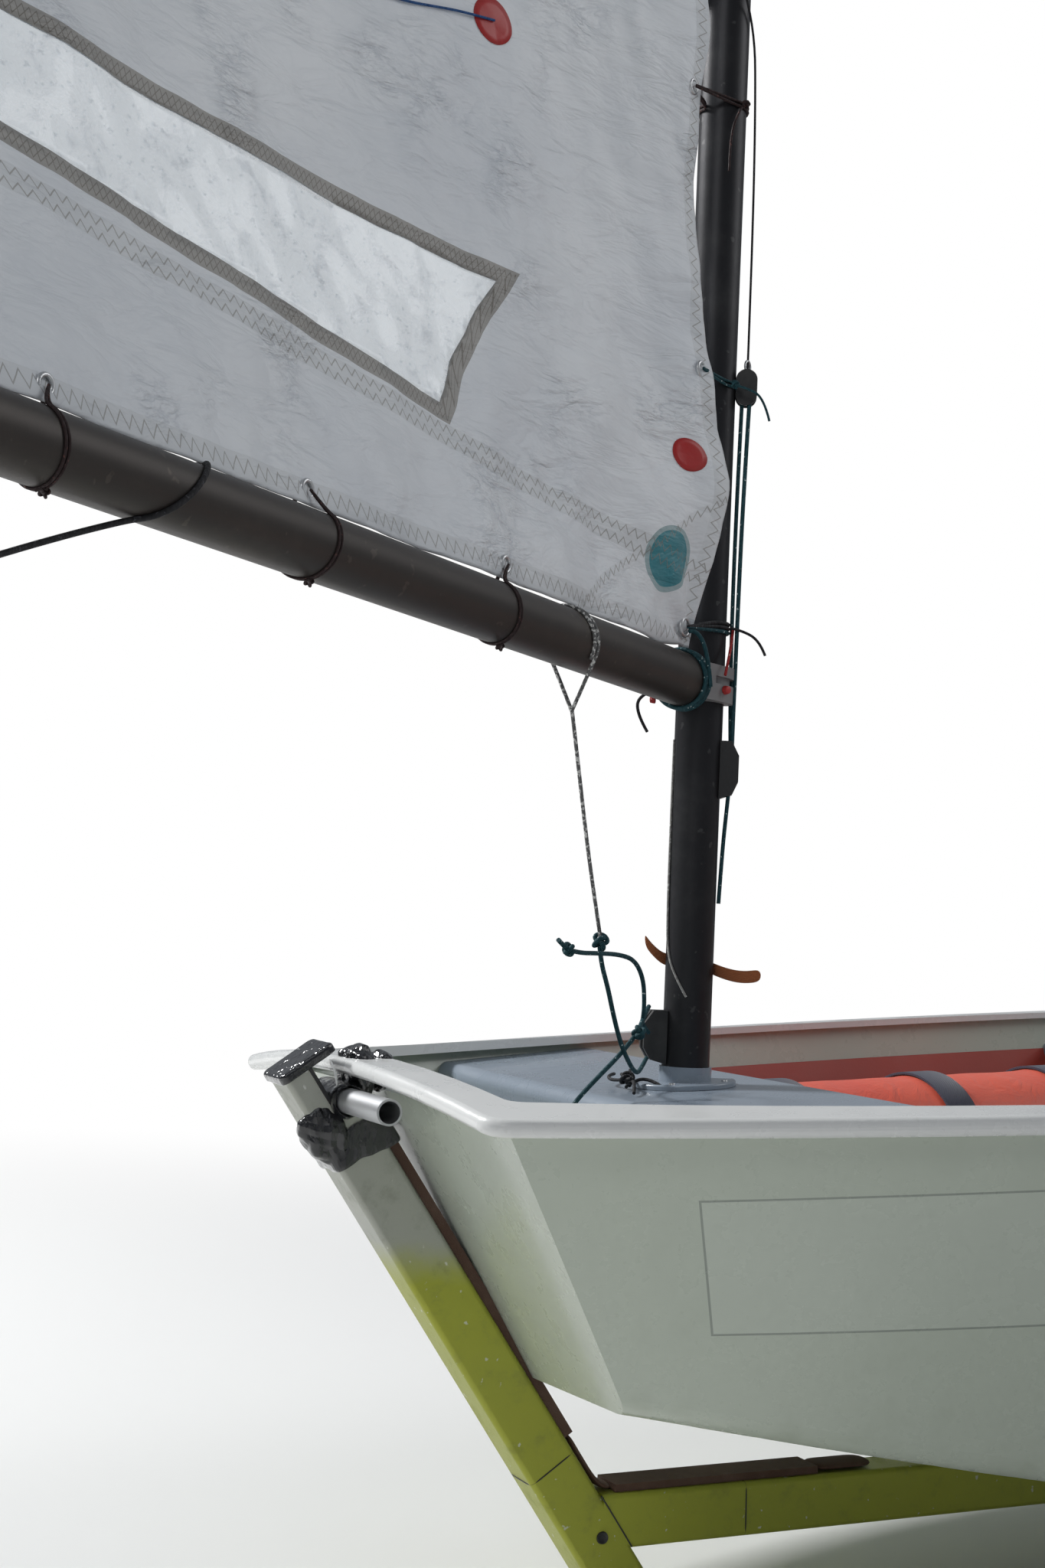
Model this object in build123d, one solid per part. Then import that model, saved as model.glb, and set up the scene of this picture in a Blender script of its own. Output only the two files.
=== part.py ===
from build123d import *
from math import atan2, cos, degrees, radians, sin, tan
import os

os.makedirs("parts", exist_ok=True)

# A small pram dinghy with its sail set, parked on its launching dolly.
# It is modelled in the hull's own frame: X forward from the stern, Y to port and Z up from the
# lowest point of the keel. The whole is then turned bow-down by TRIM and set on the ground.
TRIM = 5.0
FRAME_X = 1841.27
FRAME_Y = 332.12
GAP = 0.3
BEARING_GAP = 0.05

# Hull shell and rail
SKIN = 6.0
BOW_RAKE = 27.3
STERN_RAKE = -4.0
CHINE_RADIUS = 28.0
KEEL_DROP = 11.0
BOW_CORNER = 12.0
STERN_CORNER = 8.0
RAIL_OUT = 28.0
RAIL_IN = 20.0
RAIL_DEPTH = 11.0
RAIL_RISE = 6.0
RAIL_CORNER = 26.0
RAIL_ROLL = 7.0

# Inside of the hull
THWART_X = 1969.0
THWART_TOP = 398.0
THWART_WIDE = 210.0
THWART_DEEP = 40.0
MOULDED = 6.0
FRAME_PLACE = 1120.0
FRAME_THICK = 16.0
FRAME_TOP = 340.0
SEAT_WIDE = 112.0
SEAT_THICK = 18.0
CASE_LONG = 350.0
CASE_WIDE = 44.0
CASE_TOP = 330.0
SLOT_LONG = 310.0
SLOT_WIDE = 18.0
BAG_RADIUS = 92.0
BAG_ROUND = 55.0
BAG_AFT = (1200.0, 392.0, 250.0)
BAG_AHEAD = (1800.0, 309.0, 268.0)
STERN_BAG_LONG = 760.0
STERN_BAG_X = 115.0
STERN_BAG_Z = 196.0
WEBBING = 40.0
WEBBING_THICK = 3.0
GUDGEON_BORE = 4.0
GUDGEON_OUT = 36.0
GUDGEON_HEIGHTS = {"upper": 300.0, "lower": 120.0}

# Rig
MAST_DIAMETER = 45.0
MAST_LONG = 2350.0
MAST_RAKE = 3.8
MAST_HEEL = 250.0
RIG_TURN = 36.0
BOOM_DIAMETER = 50.0
BOOM_LONG = 2057.0
BOOM_START = 34.0
BOOM_UP = 3.1
BOOM_HEIGHT = 377.0
JAW_WALL = 9.0
JAW_HIGH = 34.0
SPRIT_DIAMETER = 27.5
SPRIT_HEEL = 1045.0
SPRIT_CLEAT_HEIGHT = 298.0
SPRIT_BLOCK_HEIGHT = 663.0
VANG_CLEAT_HEIGHT = 45.0
TACK_OUT = 46.0
TACK_UP = 421.0
LUFF = 1720.0
CLEW = (1988.0, 102.0)
PEAK = (827.0, 2632.0)
CLOTH = 2.4
BELLY = 0.05
HEAD_BELLY = 0.002
SAIL_TWIST = -24.0
WINDOW = [(295.0, 700.0), (408.0, 549.0), (1080.0, 672.0), (1100.0, 774.0)]
WINDOW_ROUND = 12.0

# Dolly
FOOT_X = 2072.0
FOOT_Z = -70.0
BEAM = 50.0
BEAM_CORNER = 5.0
BEAM_TOP = 35.0
BEAM_END_X = 2062.0
BEAM_AFT_X = 700.0
STUB_LONG = 137.0
ARM_X = 2104.0
ARM_LEAN = 31.0
ARM_JOINT = 36.0
ARM_LONG = 470.0
HANDLE_UP = 427.6
HANDLE_BACK = 12.5
HANDLE_HALF = 132.0
HANDLE_RADIUS = 11.25
HANDLE_BORE = 9.4
HOOK_THICK = 3.0
HOOK_WIDE = 52.0
HOOK_TIP = 6.0
PAD_THICK = 9.0
AXLE_X = 880.0
AXLE_RADIUS = 12.5
TYRE_RADIUS = 130.0
TYRE_WIDE = 80.0
RIM_RADIUS = 62.0
HUB_WIDE = 74.0
TRACK_HALF = 526.0
CRADLE_OUT = 235.0

STANDING = (Align.CENTER, Align.CENTER, Align.MIN)
SIDES = {"port": 1, "starboard": -1}

# Each section's place, height and half breadth at the sheer and chine, rake and crown of the rail
STATIONS = [
    dict(x=0.0, sheer=368.0, wide=485.0, chine_wide=398.0, chine=52.0, rake=STERN_RAKE, crown=20.0),
    dict(x=600.0, sheer=380.0, wide=533.0, chine_wide=440.0, chine=20.0, rake=0.0, crown=10.0),
    dict(x=1150.0, sheer=391.0, wide=537.0, chine_wide=442.0, chine=11.0, rake=0.0, crown=8.0),
    dict(x=1650.0, sheer=400.0, wide=474.0, chine_wide=388.0, chine=53.0, rake=8.0, crown=12.0),
    dict(x=2276.0, sheer=414.0, wide=284.0, chine_wide=222.0, chine=157.0, rake=BOW_RAKE, crown=28.0),
]

made = {}


def keep(name, *shapes):
    solids = [solid for shape in shapes for solid in shape.solids()]
    made[name] = solids[0] if len(solids) == 1 else Compound(solids)


def section_plane(row):
    # Local X is to port and local Y climbs in the plane of the section
    up = Vector(sin(radians(row["rake"])), 0, cos(radians(row["rake"])))
    across = Vector(0, 1, 0)
    return Plane(origin=(row["x"], 0, row["sheer"]), x_dir=across, z_dir=across.cross(up))


def stretched(ahead):
    # The stations with both ends moved out, or in where the number is negative
    rows = [dict(row) for row in STATIONS]
    rows[0]["x"] -= ahead
    rows[-1]["x"] += ahead
    return rows


def hull_section(row, inset, above):
    depth = (row["sheer"] - row["chine"]) / cos(radians(row["rake"]))
    top = row["wide"] - inset
    low = row["chine_wide"] - inset * 0.9
    floor = inset - depth
    head = top + (top - low) / depth * above
    outline = Polyline((-head, above), (-low, floor), (0, floor - KEEL_DROP), (low, floor), (head, above),
                       close=True)
    face = make_face(outline)
    chines = [corner for corner in face.vertices() if abs(abs(corner.X) - low) < 1 and corner.Y < floor + 1]
    return section_plane(row) * fillet(chines, CHINE_RADIUS - inset)


def hull_form(inset, above=0.0):
    # The hull's outside, or a form inside it by the inset, closed at the sheer or above it
    shorten = inset / cos(radians(BOW_RAKE))
    return loft([hull_section(row, inset, above) for row in stretched(-shorten)])


def make_hull_shell():
    outside = hull_form(0)
    ends = outside.faces().sort_by(Axis.X)
    for face, radius in ((ends[-1], BOW_CORNER), (ends[0], STERN_CORNER)):
        sheer = max(edge.center().Z for edge in face.edges())
        low = [edge for edge in face.edges() if edge.center().Z < sheer - 20]
        outside = fillet(low, radius)
    slot = Pos(case_middle(), 0, -50) * extrude(SlotOverall(SLOT_LONG, SLOT_WIDE), 200)
    keep("hull_shell", outside - hull_form(SKIN, 60) - slot)


def rail_section(row, out, low, high):
    half = row["wide"] + out
    crown = row["crown"]
    lower = ThreePointArc((-half, low), (0, low + crown), (half, low))
    upper = ThreePointArc((half, high), (0, high + crown), (-half, high))
    rim = lower + Line((half, low), (half, high)) + upper + Line((-half, high), (-half, low))
    return section_plane(row) * make_face(rim)


def rail_slab(out, low, high, corner, roll):
    slab = loft([rail_section(row, out, low, high) for row in stretched(out)])
    tall = (high - low) / 2
    upright = [edge for edge in slab.edges() if abs((edge @ 0).Z - (edge @ 1).Z) > tall and edge.length < 4 * tall]
    slab = fillet(upright, corner)
    if not roll:
        return slab
    rims = [edge for edge in slab.edges() if edge.length > 60 or abs((edge @ 0).Z - (edge @ 1).Z) < tall]
    return fillet(rims, roll)


def make_gunwale():
    # A rolled lip round the sheer with a flat flange inboard, crowned across the bow and the stern
    lip = rail_slab(RAIL_OUT, -RAIL_DEPTH, RAIL_RISE, RAIL_CORNER, RAIL_ROLL)
    opening = rail_slab(-RAIL_IN, -90.0, 90.0, RAIL_CORNER - 8, 0)
    keep("gunwale", lip - opening - hull_form(-GAP, GAP))


def fitted(shape):
    # What of a shape lies inside the moulded hull
    return shape & hull_form(SKIN + GAP, 60)


def channel(wide, deep, wall, front_round, back_round):
    # A moulded seat's section seen from the side, open below
    outer = Rectangle(wide, deep, align=(Align.CENTER, Align.MAX))
    ahead = [corner for corner in outer.vertices() if corner.Y > -1 and corner.X > 0]
    outer = fillet(ahead, front_round)
    astern = [corner for corner in outer.vertices() if corner.Y > -1 and corner.X < 0]
    outer = fillet(astern, back_round)
    hollow = Pos(0, -wall) * Rectangle(wide - 2 * wall, deep, align=(Align.CENTER, Align.MAX))
    return outer - hollow


def make_mast_thwart():
    middle = THWART_X + 8
    bar = Plane(origin=(middle, 700, THWART_TOP), x_dir=(1, 0, 0), z_dir=(0, -1, 0)) * channel(
        THWART_WIDE, THWART_DEEP, MOULDED, 14.0, 6.0)
    seat = fitted(extrude(bar, 1400))
    socket = mast_axis() * Pos(0, 0, -THWART_DEEP) * Cylinder(36, THWART_DEEP - 3, align=STANDING)
    hole = mast_axis() * Cylinder(MAST_DIAMETER / 2 + 3.4, 200)
    keep("mast_thwart", seat + (socket & seat_block(middle)) - hole)


def seat_block(middle):
    return Pos(middle, 0, THWART_TOP - THWART_DEEP) * Box(THWART_WIDE - 2, 200, THWART_DEEP - 2, align=STANDING)


def make_mast_collar():
    flange = Pos(THWART_X, 0, THWART_TOP + GAP) * Cylinder(48, 5, align=STANDING)
    flange = fillet(flange.edges().filter_by(GeomType.CIRCLE).sort_by(Axis.Z)[-1], 2)
    sleeve = Pos(0, 0, 2.5) * Cylinder(24.7, 16, align=STANDING)
    spigot = Pos(0, 0, -THWART_DEEP - 6) * Cylinder(25.7, THWART_DEEP + 9, align=STANDING)
    bore = Cylinder(MAST_DIAMETER / 2 + BEARING_GAP, 400)
    keep("mast_collar", flange + mast_axis() * (sleeve + spigot) - mast_axis() * bore)


def make_mast_step():
    heel = mast_axis() * Pos(0, 0, -MAST_HEEL - 14)
    base = loft([Pos(0, 0, -60) * RectangleRounded(150, 130, 16), Pos(0, 0, 24) * RectangleRounded(96, 84, 16)])
    cup = Pos(0, 0, 20) * Cylinder(33, 24, align=STANDING)
    well = Pos(0, 0, 14 - GAP) * Cylinder(MAST_DIAMETER / 2 + BEARING_GAP, 60, align=STANDING)
    keep("mast_step", fitted(heel * (base + cup - well)))


def make_mid_frame():
    hung = (Align.CENTER, Align.CENTER, Align.MAX)
    frame = Pos(FRAME_PLACE, 0, FRAME_TOP) * Box(FRAME_THICK, 1300, FRAME_TOP + 80, align=hung)
    for side in (1, -1):
        window = Plane.YZ.offset(FRAME_PLACE - FRAME_THICK) * Pos(side * 170, 165) * RectangleRounded(230, 190, 45)
        frame -= extrude(window, 2 * FRAME_THICK)
    keep("mid_frame", fitted(frame))


def make_mid_thwart():
    board = Box(SEAT_WIDE, 1400, SEAT_THICK, align=STANDING)
    board = fillet(board.edges().filter_by(Axis.Y), 6)
    keep("mid_thwart", fitted(Pos(FRAME_PLACE, 0, FRAME_TOP + GAP) * board))


def case_middle():
    return FRAME_PLACE + FRAME_THICK / 2 + GAP + CASE_LONG / 2


def make_daggerboard_case():
    walls = extrude(SlotOverall(CASE_LONG, CASE_WIDE), CASE_TOP)
    lip = Pos(0, 0, CASE_TOP - 8) * extrude(SlotOverall(CASE_LONG, CASE_WIDE + 22), 8)
    slot = extrude(SlotOverall(SLOT_LONG, SLOT_WIDE), 2 * CASE_TOP)
    foot = extrude(SlotOverall(CASE_LONG, CASE_WIDE + 30), 26)
    keep("daggerboard_case", fitted(Pos(case_middle(), 0, 0) * (walls + lip + foot - slot)))


def bag_axis(side):
    aft = Vector(BAG_AFT[0], side * BAG_AFT[1], BAG_AFT[2])
    ahead = Vector(BAG_AHEAD[0], side * BAG_AHEAD[1], BAG_AHEAD[2])
    run = ahead - aft
    return Plane(origin=aft, z_dir=run), run.length


def inflated(radius, long):
    tube = Cylinder(radius, long, align=STANDING)
    return fillet(tube.edges().filter_by(GeomType.CIRCLE), BAG_ROUND)


def hoop(radius):
    outer = Cylinder(radius + GAP + WEBBING_THICK, WEBBING)
    return outer - Cylinder(radius + GAP, 2 * WEBBING)


def make_bags():
    for word, side in SIDES.items():
        axis, long = bag_axis(side)
        keep(f"buoyancy_bag_{word}", fitted(axis * inflated(BAG_RADIUS, long)))
        keep(f"bag_straps_{word}", *[fitted(axis * Pos(0, 0, long * share) * hoop(BAG_RADIUS))
                                     for share in (0.14, 0.46, 0.82)])
    across = Plane(origin=(STERN_BAG_X, -STERN_BAG_LONG / 2, STERN_BAG_Z), z_dir=(0, 1, 0))
    keep("buoyancy_bag_stern", across * inflated(BAG_RADIUS, STERN_BAG_LONG))
    keep("bag_straps_stern", *[across * Pos(0, 0, STERN_BAG_LONG * share) * hoop(BAG_RADIUS)
                               for share in (0.2, 0.8)])


def toe_strap(side):
    ahead = Vector(FRAME_PLACE - FRAME_THICK / 2 - 1, side * 84, 62)
    middle = Vector(690, side * 96, 118)
    aft = Vector(262, side * 110, 62)
    path = ThreePointArc(ahead, middle, aft)
    return sweep(Plane(path @ 0, x_dir=(0, 1, 0), z_dir=path % 0) * Rectangle(50, 4), path=path)


def make_toe_straps():
    anchors = [fitted(Pos(262, side * 110, 20) * Box(34, 60, 46, align=STANDING)) for side in (1, -1)]
    straps = [toe_strap(side) for side in (1, -1)]
    keep("toe_straps", *[strap + anchor for strap, anchor in zip(straps, anchors)])


def sheave_block(radius, wide):
    # Two rounded cheeks beside a grooved sheave, hung from the origin along local Z downwards
    cheek = extrude(SlotOverall(2.9 * radius, 1.7 * radius), wide / 4)
    groove = Polyline((0, wide / 4), (radius * 0.8, wide / 4), (radius * 0.6, 0), (radius * 0.8, -wide / 4),
                      (0, -wide / 4), close=True)
    sheave = revolve(Plane.XZ * make_face(groove), Axis.Z)
    pair = Pos(0, 0, wide / 4) * cheek + Pos(0, 0, -wide / 2) * cheek
    return Rot(X=90) * Rot(Z=90) * (pair + sheave + Cylinder(radius * 0.25, wide * 1.1))


def make_sheet_block():
    base = fitted(Pos(980, 0, 0) * Cylinder(28, 18, align=STANDING))
    post = Pos(980, 0, 12) * Cylinder(9, 30, align=STANDING)
    body = Pos(980, 0, 66) * sheave_block(26, 24)
    keep("sheet_block", base + post + body)


def make_gudgeons():
    for word, high in GUDGEON_HEIGHTS.items():
        back = (STATIONS[0]["sheer"] - high) * tan(radians(-STERN_RAKE))
        strap = Pos(back - GAP, 0, high) * Rot(Y=STERN_RAKE) * Rot(Y=-90) * extrude(RectangleRounded(26, 70, 8), 4)
        ear = Pos(back - GAP - 1, 0, high) * Box(GUDGEON_OUT + back, 16, 12, align=(Align.MAX, Align.CENTER,
                                                                                  Align.CENTER))
        eye = Pos(-GUDGEON_OUT, 0, high) * Cylinder(10, 12)
        bore = Pos(-GUDGEON_OUT, 0, high) * Cylinder(GUDGEON_BORE, 40)
        keep(f"gudgeon_{word}", strap + ear + eye - bore)


def mast_axis():
    # Local Z runs up the mast from the height of the thwart's top, local X to the bow
    return Pos(THWART_X, 0, THWART_TOP) * Rot(Y=-MAST_RAKE)


def rig_axis():
    # The mast's axis turned so that local X points the way the boom is swung
    return mast_axis() * Rot(Z=RIG_TURN)


def boom_axis():
    # Local X runs out along the boom from the mast's middle line
    return rig_axis() * Pos(0, 0, BOOM_HEIGHT) * Rot(Y=-BOOM_UP)


def make_mast():
    body = Cylinder(MAST_DIAMETER / 2, MAST_LONG, align=STANDING)
    keep("mast", mast_axis() * Pos(0, 0, -MAST_HEEL) * body)
    plug = Cylinder(MAST_DIAMETER / 2, 12, align=STANDING)
    plug = fillet(plug.edges().filter_by(GeomType.CIRCLE).sort_by(Axis.Z)[-1], 4)
    eye = Pos(0, 0, 16) * Rot(X=90) * (Cylinder(11, 6) - Cylinder(5, 10))
    keep("mast_cap", rig_axis() * Pos(0, 0, MAST_LONG - MAST_HEEL + 0.1) * (plug + eye))


def make_boom():
    lying = Rot(Y=90)
    body = Pos(BOOM_START, 0, 0) * lying * Cylinder(BOOM_DIAMETER / 2, BOOM_LONG, align=STANDING)
    keep("boom", boom_axis() * body)
    plug = Cylinder(BOOM_DIAMETER / 2, 10, align=STANDING)
    plug = fillet(plug.edges().filter_by(GeomType.CIRCLE).sort_by(Axis.Z)[-1], 3)
    eye = Pos(0, 0, 14) * Rot(X=90) * (Cylinder(12, 7) - Cylinder(5.5, 10))
    keep("boom_end", boom_axis() * Pos(BOOM_START + BOOM_LONG + 0.1, 0, 0) * lying * (plug + eye))


def make_boom_jaw():
    # A moulded fork that straddles the mast, with a groove between its two bands
    reach = MAST_DIAMETER / 2 + JAW_WALL
    cheek = Circle(reach) + make_face(Polyline(
        (0, reach), (BOOM_START - 0.2, BOOM_DIAMETER / 2 - 1), (BOOM_START - 0.2, 1 - BOOM_DIAMETER / 2), (0, -reach),
        close=True))
    cheek -= Pos(-16, 0) * Rectangle(60, 90, align=(Align.MAX, Align.CENTER))
    fork = Pos(0, 0, -JAW_HIGH / 2) * extrude(cheek, JAW_HIGH)
    groove = Pos(0, 0, 3) * (Cylinder(60, 7) - Cylinder(reach - 4, 9))
    groove -= Pos(BOOM_START - 12, 0, 0) * Box(60, 90, 60, align=(Align.MIN, Align.CENTER, Align.CENTER))
    bore = Rot(Y=BOOM_UP) * Cylinder(MAST_DIAMETER / 2 + 0.5, 90)
    keep("boom_jaw", boom_axis() * (fork - groove - bore))


def clam_cleat(long, wide, proud):
    # Two fluted cheeks with a V between them, standing off local X with the rope along local Z
    side = make_face(Polyline((0, -long / 2), (proud * 0.7, -long * 0.42), (proud, -long * 0.2),
                              (proud, long * 0.25), (proud * 0.6, long / 2), (0, long / 2), close=True))
    body = extrude(Plane.XZ * side, wide / 2, both=True)
    jaw = make_face(Polyline((proud + 1, -wide * 0.27), (proud * 0.35, 0), (proud + 1, wide * 0.27), close=True))
    return body - Pos(0, 0, -long) * extrude(jaw, 2 * long)


def on_mast(turn, height):
    # A place on the mast's surface, turned from the boom's side, with local X pointing off it
    return rig_axis() * Rot(Z=turn) * Pos(MAST_DIAMETER / 2 - 1.5, 0, height)


def make_cleats():
    mast = mast_axis() * Cylinder(MAST_DIAMETER / 2 + 0.1, 3000)
    keep("vang_cleat", on_mast(-50, VANG_CLEAT_HEIGHT) * clam_cleat(50, 19, 22) - mast)
    keep("sprit_cleat", on_mast(116, SPRIT_CLEAT_HEIGHT) * clam_cleat(55, 18, 18) - mast)
    hanging = rig_axis() * Rot(Z=116) * Pos(MAST_DIAMETER / 2 + 10, 0, SPRIT_BLOCK_HEIGHT)
    keep("sprit_block", hanging * sheave_block(12, 14))


def sail_section(part):
    # One strip of cloth from luff to leech, part of the way from the foot to the head
    leech = Vector(*CLEW) + (Vector(*PEAK) - Vector(*CLEW)) * part
    climb = Vector(leech.X, 0, leech.Y - LUFF * part)
    chord = climb.length
    depth = chord * (BELLY * 6.75 * part * (1 - part) ** 2 + HEAD_BELLY)
    half = CLOTH / 2
    near = ThreePointArc((0, half), (chord * 0.45, half - depth), (chord, half))
    far = ThreePointArc((chord, -half), (chord * 0.45, -half - depth), (0, -half))
    strip = make_face(near + Line(near @ 1, far @ 0) + far + Line(far @ 1, near @ 0))
    stand = Plane(origin=(TACK_OUT, 0, TACK_UP + LUFF * part), x_dir=climb, z_dir=climb.cross(Vector(0, 1, 0)))
    return Rot(Z=SAIL_TWIST * part) * (stand * strip)


def window_pane(inset):
    # The pane's four-sided outline seen square to the boom, as a bar right through the cloth
    pane = fillet(make_face(Polyline(*WINDOW, close=True)).vertices(), WINDOW_ROUND)
    return extrude(Plane.XZ * offset(pane, -inset), 400, both=True)


def make_sail():
    cloth = loft([sail_section(part) for part in (0.0, 0.33, 0.66, 1.0)])
    keep("sail", rig_axis() * (cloth - window_pane(0)))
    keep("sail_window", rig_axis() * (cloth & window_pane(GAP)))


def make_sprit():
    tip = (Rot(Z=SAIL_TWIST) * Pos(TACK_OUT + PEAK[0], 0, TACK_UP + PEAK[1])).position
    tip += Vector(0, -SPRIT_DIAMETER / 2 - 4, 6)
    heel = Vector(14, -MAST_DIAMETER / 2 - SPRIT_DIAMETER / 2 - 6, SPRIT_HEEL)
    rod = Cylinder(SPRIT_DIAMETER / 2, (tip - heel).length, align=STANDING)
    rod = fillet(rod.edges().filter_by(GeomType.CIRCLE), 8)
    keep("sprit", rig_axis() * (Plane(origin=heel, z_dir=tip - heel) * rod))


def axle_height():
    # Height of the axle's middle, a wheel's radius above the ground
    return FOOT_Z + (AXLE_X - FOOT_X) * tan(radians(TRIM)) + TYRE_RADIUS / cos(radians(TRIM))


def axle_at(offset):
    # Local Z runs to port along the axle
    return Pos(AXLE_X, offset, axle_height()) * Rot(X=-90)


def beam_axis():
    # Local X runs forward along the beam's top from its forward end, and the axle crosses its middle
    fall = BEAM_TOP - BEAM / 2 - axle_height()
    return Pos(BEAM_END_X, 0, BEAM_TOP) * Rot(Y=-degrees(atan2(fall, BEAM_END_X - AXLE_X)))


def arm_axis():
    # Local Z climbs the arm's middle line and local X points ahead of it
    return Pos(ARM_X, 0, BEAM_TOP) * Rot(Y=ARM_LEAN)


def box_tube(long, outer=BEAM):
    return extrude(RectangleRounded(outer, outer, BEAM_CORNER), long)


def beam_run(start, long):
    return beam_axis() * Pos(-start, 0, -BEAM / 2) * Rot(Y=-90) * box_tube(long)


def on_ground(shape):
    return Pos(FOOT_X, 0, FOOT_Z) * Rot(Y=-TRIM) * shape


def make_dolly_frame():
    # The arm and the beam slide over the welded corner piece, whose leg stands on the ground
    main = beam_run(STUB_LONG + 0.4, BEAM_END_X - BEAM_AFT_X - STUB_LONG)
    keep("dolly_beam", main - axle_at(0) * Cylinder(AXLE_RADIUS + 0.1, 200))
    arm = Pos(0, 0, ARM_JOINT + 0.4) * box_tube(ARM_LONG - ARM_JOINT)
    arm -= Pos(HANDLE_RADIUS + HOOK_THICK + 0.3 - HANDLE_BACK, 0, HANDLE_UP) * Box(
        99, 99, 99, align=(Align.MAX, Align.CENTER, Align.MIN))
    keep("dolly_arm", arm_axis() * arm - hook_wrap(HOOK_THICK + 0.3, 99))
    leg = arm_axis() * Pos(0, 0, -160) * box_tube(160 + ARM_JOINT)
    stub = beam_run(-10, STUB_LONG + 10)
    bolt = Pos(2075, 0, -2) * Rot(X=90) * Cylinder(4.5, 200)
    ground = on_ground(Pos(0, 0, 12) * Box(500, 500, 400, align=(Align.CENTER, Align.CENTER, Align.MAX)))
    keep("dolly_elbow", leg + stub - bolt - ground)
    cap = extrude(RectangleRounded(BEAM + 5, BEAM + 5, BEAM_CORNER + 2), 7)
    cap = fillet(cap.edges().group_by(Axis.Z)[-1], 2.5)
    keep("dolly_arm_cap", arm_axis() * Pos(0, 0, ARM_LONG + 0.6) * cap)
    sole = extrude(RectangleRounded(96, 66, 12), 11.5)
    sole = Pos(FOOT_X - 22, 0, 0) * sole
    keep("dolly_foot", on_ground(Pos(-FOOT_X, 0, 0) * sole))


def handle_axis():
    return arm_axis() * Pos(-HANDLE_BACK, 0, HANDLE_UP) * Rot(X=90)


def make_handle():
    grip = Cylinder(HANDLE_RADIUS, 2 * HANDLE_HALF) - Cylinder(HANDLE_BORE, 3 * HANDLE_HALF)
    keep("dolly_handle", handle_axis() * grip)


def hook_wrap(thick, wide):
    # The round room in the arm that the bracket's bend and the handle lie in
    return handle_axis() * Cylinder(HANDLE_RADIUS + thick, wide)


def make_hook():
    # A flat bar down from the cap that bends round under the handle, which is welded into the bend
    inside = HANDLE_RADIUS + 0.1
    outside = inside + HOOK_THICK
    flat = make_face(Polyline((outside, 0), (outside, ARM_LONG - HANDLE_UP), (inside, ARM_LONG - HANDLE_UP),
                              (inside, 0), close=True))
    bend = Circle(outside) - Circle(inside)
    bend -= Rectangle(99, 99, align=(Align.CENTER, Align.MIN))
    tip = Pos(-(inside + outside) / 2, 0) * Rectangle(HOOK_THICK, HOOK_TIP, align=(Align.CENTER, Align.MIN))
    bar = extrude(Plane.XZ * (flat + bend + tip), HOOK_WIDE / 2, both=True)
    keep("dolly_hook", arm_axis() * Pos(-HANDLE_BACK, 0, HANDLE_UP) * bar)


def make_axle():
    keep("axle", axle_at(0) * Cylinder(AXLE_RADIUS, 2 * TRACK_HALF + TYRE_WIDE + 44))
    for word, side in SIDES.items():
        ring = Cylinder(AXLE_RADIUS + 7, 14) - Cylinder(AXLE_RADIUS + BEARING_GAP, 20)
        inner = side * (TRACK_HALF - HUB_WIDE / 2 - 8.5)
        outer = side * (TRACK_HALF + HUB_WIDE / 2 + 8.5)
        keep(f"axle_collar_{word}", axle_at(inner) * ring)
        keep(f"axle_cap_{word}", axle_at(outer) * ring)


def make_wheel(word, side):
    place = axle_at(side * TRACK_HALF)
    half = TYRE_WIDE / 2
    bead = (RIM_RADIUS, half * 0.7)
    shoulder = (TYRE_RADIUS - 9, half * 0.86)
    wall = ThreePointArc(bead, (RIM_RADIUS + 30, half), shoulder)
    tread = ThreePointArc(shoulder, (TYRE_RADIUS, 0), (shoulder[0], -shoulder[1]))
    back = ThreePointArc((shoulder[0], -shoulder[1]), (RIM_RADIUS + 30, -half), (bead[0], -bead[1]))
    profile = make_face(wall + tread + back + Line((bead[0], -bead[1]), bead))
    keep(f"tyre_{word}", place * revolve(Plane.XZ * profile, Axis.Z))
    barrel = Cylinder(RIM_RADIUS - GAP, TYRE_WIDE * 0.76) - Cylinder(RIM_RADIUS - 7, TYRE_WIDE)
    rim = barrel + Cylinder(RIM_RADIUS - 3, 9) + Cylinder(21, HUB_WIDE)
    window = Pos(0, 0, -20) * extrude(RectangleRounded(24, 22, 8), 40)
    for step in range(5):
        rim -= Rot(Z=72 * step) * Pos(40, 0, 0) * window
    keep(f"wheel_{word}", place * (rim - Cylinder(AXLE_RADIUS + BEARING_GAP, 200)))


def make_cradles():
    for word, side in SIDES.items():
        saddle = Pos(AXLE_X, side * CRADLE_OUT, axle_height() - 22) * extrude(RectangleRounded(92, 130, 14), 90)
        saddle -= axle_at(0) * Cylinder(AXLE_RADIUS + 0.1, 1200)
        below = saddle - hull_form(-GAP)
        keep(f"cradle_{word}", below.solids().sort_by(Axis.Z)[0])


def make_pads():
    flat = Box(PAD_THICK, 40, 340, align=STANDING)
    arm_pad = arm_axis() * Pos(-BEAM / 2 - GAP - PAD_THICK / 2, 0, ARM_JOINT + 14) * flat
    keep("arm_pad", arm_pad - hull_form(-GAP, 60))
    lying = Pos(-4, 0, GAP) * Box(214, 38, 7, align=(Align.MAX, Align.CENTER, Align.MIN))
    keep("beam_pad", beam_axis() * lying)


def to_frame():
    lift = FOOT_X * sin(radians(TRIM)) - FOOT_Z * cos(radians(TRIM))
    return Pos(-FRAME_X, -FRAME_Y, lift) * Rot(Y=TRIM)


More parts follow.
